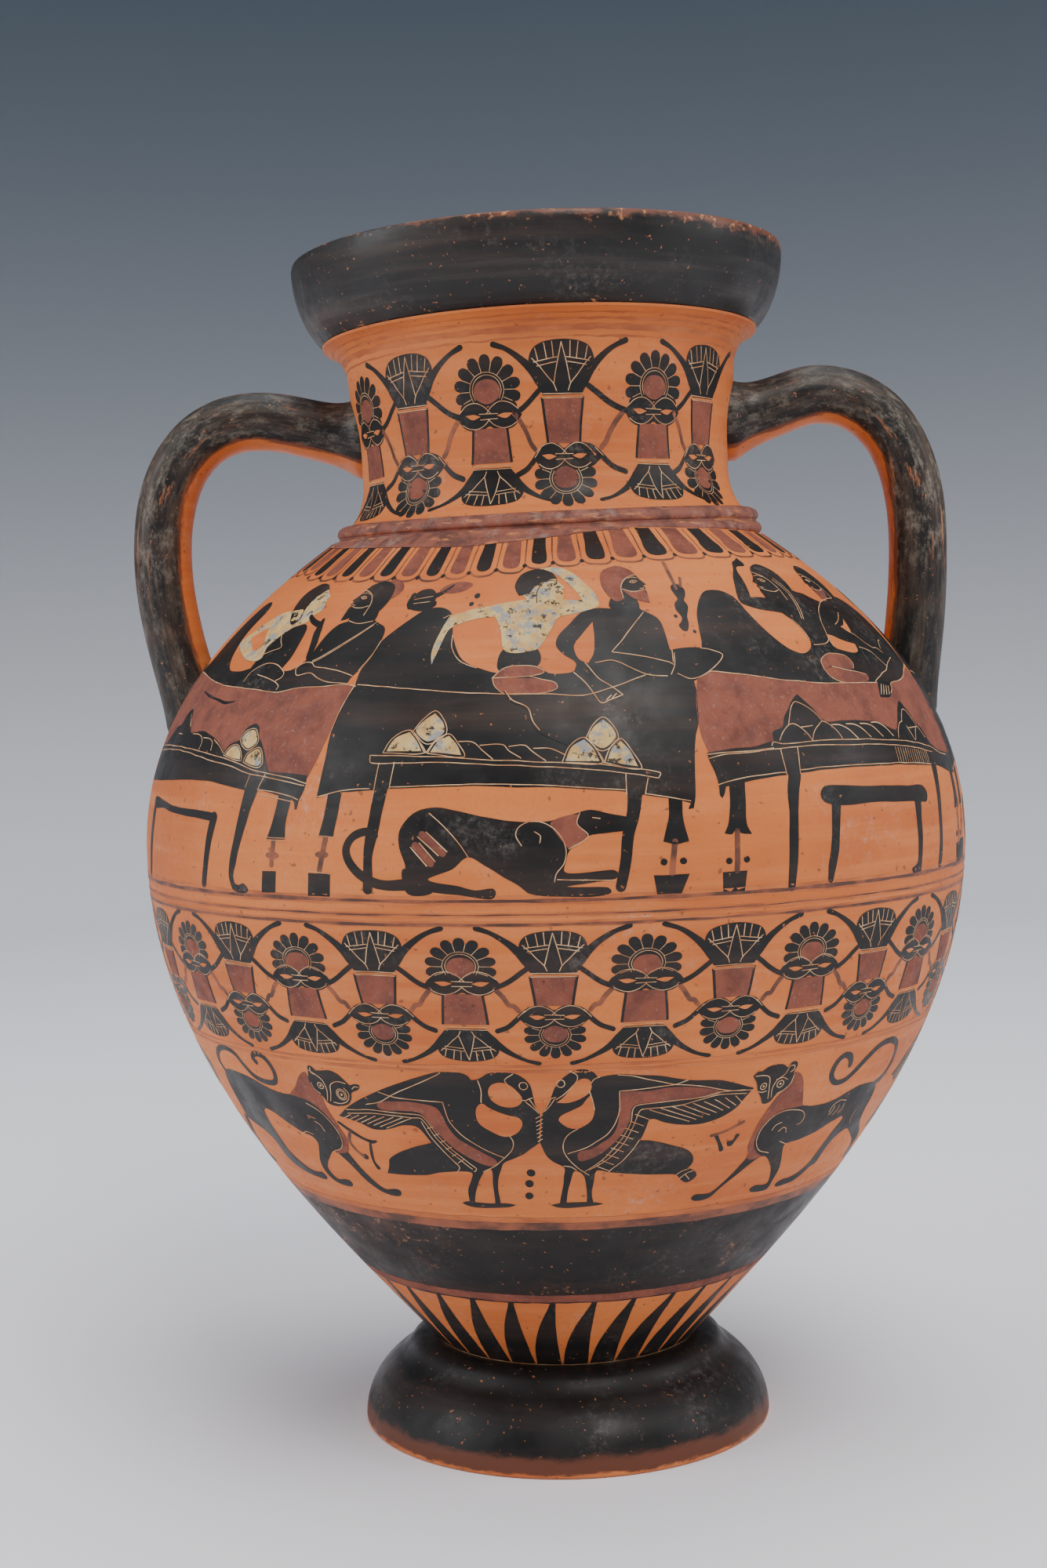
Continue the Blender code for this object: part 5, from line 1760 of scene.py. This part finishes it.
def right_panther(p):
    """A panther that walks to the left, its face turned out, its tail curled over its back."""
    p.fill(
        "black",
        [(72, 113, 1), (74, 117), (79, 119.6), (85, 120.2), (89, 120.3), (94, 119.3), (100, 119.2),
         (106, 119.8), (112, 121.5), (118, 122.7), (125, 122.7), (131, 121.8), (134.5, 119), (136, 115),
         (136, 110), (139, 105), (145, 101), (150, 98), (153, 95), (154.4, 91.6), (157.5, 90.4),
         (160.5, 88.8), (160, 86.8, 1), (153, 86.6), (150.6, 88.4), (149.6, 92), (146, 95.4), (140, 98.6),
         (134, 101.4), (127.6, 104.3), (121.5, 102.6), (118.4, 99), (117.6, 95), (117, 92), (114, 91),
         (111, 88.4), (107, 86.3), (102, 85.8), (97, 85.6), (95.2, 86.6), (96, 87.9), (98.6, 88.6),
         (102, 88.7), (107, 90), (110.8, 93), (112.5, 97), (114, 101.5), (116, 106), (118.3, 110),
         (117, 111.4), (110, 110), (103, 107.5), (95, 105.9), (88, 105.2), (88.6, 102), (90.5, 98),
         (92, 94), (91.8, 89), (91.3, 85.7), (87, 85.2), (82, 85.8), (80.4, 87.4), (82.5, 88.6), (86, 88.2),
         (89.2, 88.6), (89, 91), (87, 95), (84, 98.5), (80.6, 101.4), (78, 101.6), (73.5, 98.6), (69, 94.5),
         (64.4, 90.2), (61.5, 87), (58, 85.8), (54, 86.1), (52.4, 87.4), (53.4, 88.9), (57, 88.8),
         (60, 88.8), (62.2, 90), (67, 95.5), (69.5, 99.5), (71.4, 102.6), (72, 107)],
    )
    p.line("black", [
        (131, 121.2), (136.4, 123.4), (138.6, 127), (138.5, 131), (136, 135), (132, 137.3), (127, 138.0),
        (121, 137), (116, 134), (111, 129.5), (107, 127.1), (103, 126.5), (100, 127.7), (97.9, 130.2),
        (97.7, 133), (99, 135.5), (101.5, 136.8), (104, 136.3), (105.8, 134.5), (106.3, 132.6),
    ],
           [2.6, 2.4, 2.3, 2.2, 2.2, 2.3, 2.3, 2.4, 2.6, 2.5, 2.2, 2.0, 2.0, 2.2, 2.4, 2.2, 2.2, 2.4, 2.4,
            2.2], 0)
    p.fill("red", [
        (79.5, 134), (82, 133.3), (84.5, 130.5), (86.5, 125.5), (88, 121.6), (89, 120.2, 1), (84, 120.3),
        (78, 119.2), (73.5, 115.5), (71.9, 111), (72.6, 107), (75, 104), (78.5, 101.8, 1), (75, 101.1),
        (72.5, 101.4), (71, 102.7), (71.3, 104), (69.8, 107), (70.1, 112), (71, 117), (73, 122),
        (75.5, 126.3), (78, 128.5), (79.5, 131),
    ], 1)
    p.fill("black", [
        (63, 134.6, 1), (64.4, 136.1), (66, 136), (68, 137.2), (71, 137.8), (74, 137.3), (76, 136, 1),
        (77, 137.7), (79, 137.8), (79.8, 136.3), (79, 134), (79.7, 131.5), (78.5, 129), (76, 127.3),
        (74, 126.4), (73, 124.5), (71, 123.7), (69.3, 124), (68.3, 126), (67, 127.8), (66, 129.5),
        (65, 132),
    ], 2)
    scratches(
        p,
        [(64, 134.6), (67, 134.4), (69.4, 133.4), (70.4, 130), (71.2, 125.6)],
        [(76.6, 136.8), (75.5, 134), (73, 132.2), (71.9, 129.5), (72.4, 126)],
        [(77.2, 136.6), (78.4, 136.6), (78.8, 135.2), (77.6, 134.4)],
        [(79.4, 133), (79, 130), (77, 128), (74.5, 127)],
        [(72.6, 132.3), (75, 132.8), (77, 131.8)],
        [(66.6, 128.6), (68, 128.2), (69.6, 128.6)],
        [(81, 103), (76, 104.6), (73.2, 108), (72.6, 111.4), (73.3, 114.5), (76, 117.8), (80, 119.4),
         (85, 119.4), (90, 118), (92, 115.6), (91.5, 113.4), (89.8, 112.8)],
        [(89, 105.2), (86.2, 106.2), (84.4, 107)],
        [(81.6, 111.4), (83, 112.6), (84.6, 112.2), (85.6, 110.4)],
        [(78.2, 112.4), (79, 114.2), (81.4, 115)],
        [(105.6, 115), (106.4, 117.4), (109.6, 118.8), (113.6, 118.2)],
        [(106, 114), (107.4, 115), (107.6, 117)],
        [(108.6, 113.4), (110.2, 114.8), (110.4, 116.8)],
        [(111.8, 113.6), (113.4, 114.8), (113.4, 117)],
        [(127, 106.6), (125.4, 109.6), (126, 112.4)],
        width=0.42,
    )
    ring(p, (68, 130.4), 2.3)
    ring(p, (74.6, 130.5), 2.6)
    p.dot("scratch", (68, 130.4), 0.8, 3)
    p.dot("scratch", (74.6, 130.5), 0.8, 3)


def left_panther(p):
    """A panther that walks to the right, its face turned out, its tail curled over its back."""
    p.fill(
        "black",
        [(-100, 127, 1), (-105, 127), (-110, 127.6), (-118, 129.8), (-126, 131), (-134, 131.3),
         (-139, 130.7), (-143, 128.6), (-145, 124.6), (-146.4, 119), (-147.6, 113), (-151, 107),
         (-156, 102), (-159.6, 97), (-160.6, 93.4), (-157, 92.2), (-153.6, 91.6), (-152.6, 90, 1),
         (-160, 89.4), (-165, 90.2), (-165.4, 95), (-163.6, 100), (-158, 106), (-152, 111.2, 1),
         (-141, 108.6), (-134.4, 107), (-130.6, 104), (-129.6, 98), (-127.4, 95), (-124, 93.4), (-119, 92),
         (-113, 91.4), (-107, 91), (-105, 92.5), (-106.5, 94.4), (-110, 94), (-115, 94.6), (-119.5, 97.5),
         (-122.8, 101), (-123.3, 104), (-124, 109), (-124.2, 113), (-123.4, 117), (-121, 118.6),
         (-116, 117.5), (-110, 114.5), (-103, 111.5), (-99, 110.6), (-97.5, 108.4), (-99.5, 104.5),
         (-102, 101), (-103.5, 97.5), (-103.3, 94), (-101, 91.5), (-97, 90.3), (-92, 90.3), (-90.4, 91.5),
         (-91, 93), (-94, 93.3), (-97.5, 92.8), (-99.5, 94), (-100.3, 97), (-98, 100), (-94.5, 103),
         (-91, 105.6), (-89.4, 105.6), (-87, 103.2), (-84.5, 99.5), (-82, 95.5), (-79, 92.5), (-75.5, 90),
         (-71, 89), (-67.5, 89.5), (-66.3, 91.3), (-67.5, 92.4), (-70, 92.2), (-73, 91.6), (-75.5, 93),
         (-78, 96), (-80.5, 99.5), (-82.5, 104), (-83.4, 107), (-82.5, 112), (-83, 116), (-85, 120),
         (-88, 124), (-93, 126.4)],
    )
    p.line("black", [
        (-141, 129.6), (-142.4, 133), (-140, 136.8), (-135, 139.2), (-129, 140), (-124.4, 138.6),
        (-121.6, 135.4), (-118, 132), (-113, 130.4), (-108, 130.2), (-105, 131.3), (-103.6, 134.2),
        (-104.1, 137.4), (-106, 139.7), (-109, 140.6), (-111.8, 140), (-112.9, 138.4), (-111.8, 137.4),
    ],
           2.0, 0)
    p.fill("red", [
        (-87.6, 136.8), (-91, 135), (-95, 130.6), (-98, 128.5), (-100, 127, 1), (-95, 126.5), (-91, 125.4),
        (-87, 122.5), (-84.5, 119), (-83, 115), (-82.6, 112), (-84, 109), (-88, 106.4), (-90.4, 105.2, 1),
        (-86, 105.6), (-83.5, 106.4), (-81.8, 108.5), (-80.5, 112), (-81.5, 116), (-83, 121), (-84, 125.5),
        (-84, 128.4), (-86, 130), (-87, 133),
    ], 1)
    p.fill("black", [
        (-87, 134.5), (-86, 137), (-85.5, 139), (-84, 139.3), (-82.5, 137.8, 1), (-80, 138), (-77, 138.5),
        (-74, 137.5), (-71.5, 135), (-70.3, 133.6, 1), (-68, 134.3), (-66.5, 133.8), (-67.5, 132.3),
        (-70.5, 131), (-71.5, 128.5), (-73.5, 126.3), (-77, 125.3), (-80, 125.2), (-82.3, 126.2),
        (-83.5, 128.5), (-86, 130), (-86.8, 132),
    ], 2)
    scratches(
        p,
        [(-85.6, 137.8), (-83.2, 136.4), (-81, 134.6), (-80.6, 131), (-82, 127)],
        [(-71.8, 134.2), (-75, 134.6), (-78.2, 133.2), (-79.2, 130.4), (-80.6, 127)],
        [(-69.8, 132.4), (-68.4, 133.4), (-67.2, 133.2)],
        [(-84.6, 138.6), (-84.8, 137), (-83.6, 136.4)],
        [(-86.4, 133), (-86, 130.8), (-84, 129.4)],
        [(-73, 132.4), (-71.8, 130.4), (-73.4, 127.6), (-76.4, 126.4), (-79.4, 126.6)],
        [(-90.4, 105.8), (-86, 107.6), (-83.6, 110.4), (-83.2, 114), (-84.8, 118), (-88, 122), (-93, 124.6)],
        [(-103.6, 111.4), (-100.6, 112.4), (-97.4, 111.8)],
        [(-93, 117.6), (-90.8, 116.4), (-90, 114)],
        [(-95.4, 119.6), (-92, 118.8)],
        width=0.42,
    )
    ring(p, (-82.6, 132.4), 2.3)
    ring(p, (-74.9, 130), 2.8)
    ring(p, (-74.9, 130), 4.0)
    p.dot("scratch", (-82.6, 132.4), 0.8, 3)
    p.dot("scratch", (-74.9, 130), 0.9, 3)


def sprigs(p):
    """Hanging sprigs in the gaps between the animals, and three dots between the swans."""
    for centre in ((-11.4, 102.6), (-12.3, 97.9), (-12.9, 92.6)):
        p.dot("black", centre, 3.2)
    p.line("black", [(-81, 118.6), (-77, 115.6), (-73, 113.2), (-69.4, 112.2), (-67.6, 112.6)], [
        1.2, 1.5, 1.2, 1.5, 0.8,
    ], 0)
    p.line("black", [(-70.4, 112), (-71.8, 107.6), (-72.5, 103.6), (-71.8, 101.2)], [0.9, 1.3, 1.1, 1.9], 0)
    p.line("brown", [(-77.6, 115.4), (-79.8, 111), (-78.5, 107.4), (-76.4, 105.6)], [1.2, 1.3, 1.3, 1.2], 0)
    p.dot("black", (-75.6, 105.4), 2.8, 0, 0.8)
    p.line("brown", [(52.6, 113.6), (58, 114.8), (64.2, 117.6)], [1.1, 0.9, 1.2], 0)
    p.line("black", [(54.6, 113.4), (56.4, 110.8), (58.4, 107.4)], [1.5, 1.2, 1.8], 0)
    p.fill("black", [
        (59.8, 110.4), (60.6, 108.6), (62.2, 108.4), (63.2, 110.4), (64.2, 112.8), (62.6, 113), (62, 110.8),
    ], 0)


def make_animals():
    """The animals of the front, the same again on the back, and narrower pairs of swans at the sides."""
    p = Picture("animals", BODY_WALL, 0.2)
    half_round = math.pi * BODY_REFERENCE
    for shift in (0.0, half_round):
        p.move(shift, 0.0)
        for draw in (left_swan, right_swan, right_panther, left_panther, sprigs):
            draw(p)
    for shift in (-half_round / 2, half_round / 2):
        p.move(shift, 0.0, 0.74, 1.0)
        left_swan(p)
        right_swan(p)
    p.done()


# ---------------------------------------------------------------- camera, lights and stage

def make_camera():
    """The camera stands in front, a little above the vase's middle, and looks slightly down."""
    data = bpy.data.cameras.new("camera")
    data.lens = 50.0
    data.sensor_fit = "VERTICAL"
    data.sensor_height = 36.0
    camera = bpy.data.objects.new("camera", data)
    bpy.context.scene.collection.objects.link(camera)
    yaw = Matrix.Rotation(math.radians(CAMERA_YAW), 4, "Z")
    pitch = Matrix.Rotation(math.radians(90.0 - CAMERA_DIP), 4, "X")
    roll = Matrix.Rotation(math.radians(CAMERA_ROLL), 4, "Z")
    camera.matrix_world = Matrix.Translation(CAMERA_PLACE) @ yaw @ pitch @ roll
    bpy.context.scene.camera = camera


def make_light(name, place, size, power, colour=(1, 1, 1)):
    """A square soft light, turned to the vase."""
    data = bpy.data.lights.new(name, "AREA")
    data.shape = "SQUARE"
    data.size = size
    data.energy = power
    data.color = colour
    light = bpy.data.objects.new(name, data)
    bpy.context.scene.collection.objects.link(light)
    light.location = place
    light.rotation_euler = (Vector((0, 0, 0.2)) - Vector(place)).to_track_quat("-Z", "Y").to_euler()
    light.visible_camera = False


def make_stage():
    """A round pale floor that sweeps up into a wall, all the way round. Its colour darkens to grey-blue with
    height, as painted shade.
    """
    outline = [(0.6, 0.0), (1.2, 0.0), (FLOOR_RADIUS, 0.0)]
    for step in range(1, 13):
        turn = step * math.pi / 24
        radius = FLOOR_RADIUS + SWEEP_RADIUS * math.sin(turn)
        outline.append((radius, SWEEP_RADIUS - SWEEP_RADIUS * math.cos(turn)))
    wall = FLOOR_RADIUS + SWEEP_RADIUS
    outline += [(wall, 1.2), (wall, 1.8), (wall, 2.6)]
    bm = bmesh.new()
    rings = []
    for radius, height in outline:
        ring = []
        for turn in range(SWEEP_SIDES):
            angle = 2 * math.pi * turn / SWEEP_SIDES
            ring.append(bm.verts.new((radius * math.cos(angle), radius * math.sin(angle), height)))
        rings.append(ring)
    bm.faces.new(rings[0])
    for low, high in zip(rings, rings[1:]):
        for turn in range(SWEEP_SIDES):
            bm.faces.new((low[turn], high[turn], high[turn - 1], low[turn - 1]))
    bmesh.ops.recalc_face_normals(bm, faces=bm.faces)
    bmesh.ops.reverse_faces(bm, faces=bm.faces)
    mesh = bpy.data.meshes.new("sweep")
    bm.to_mesh(mesh)
    bm.free()
    mesh.shade_smooth()
    n = Nodes("backdrop_paper")
    # Painted shade: the paper darkens from pale to dark grey-blue the higher it stands, in place of light falling
    # off up the wall.
    painted_shade = n.math("POWER", 0.26, n.math("MULTIPLY", n.math("MAXIMUM", n.height(), 0.0), BACKDROP_SHADE_RATE))
    colour = n.mix(painted_shade, (0.018, 0.040, 0.062), (0.900, 0.893, 0.935))
    mesh.materials.append(n.done(colour, 0.9, None, 0.2))
    sweep = bpy.data.objects.new("sweep", mesh)
    bpy.context.scene.collection.objects.link(sweep)

    world = bpy.data.worlds.new("soft_room")
    bpy.context.scene.world = world
    world.use_nodes = True
    background = world.node_tree.nodes["Background"]
    background.inputs["Color"].default_value = (0.80, 0.86, 0.95, 1.0)
    background.inputs["Strength"].default_value = 0.55


def main():
    """The stage and its lights, then the vase's clay, then its painting."""
    make_camera()
    make_stage()
    make_light("key", (0.55, -1.35, 2.0), 1.2, 34.0, (1.0, 0.98, 0.95))
    make_light("left", (-1.7, -0.5, 1.0), 1.3, 20.0, (0.97, 0.98, 1.0))
    make_light("right", (1.8, -0.3, 1.1), 1.2, 12.0, (0.97, 0.98, 1.0))
    make_light("top", (0.1, 0.2, 2.3), 1.6, 22.0)
    make_walls()
    make_foot()
    for side_name, side in (("left", -1), ("right", 1)):
        make_handle(side_name, side)
    make_frieze()
    make_chains()
    make_tongues()
    make_bands()
    make_animals()


main()
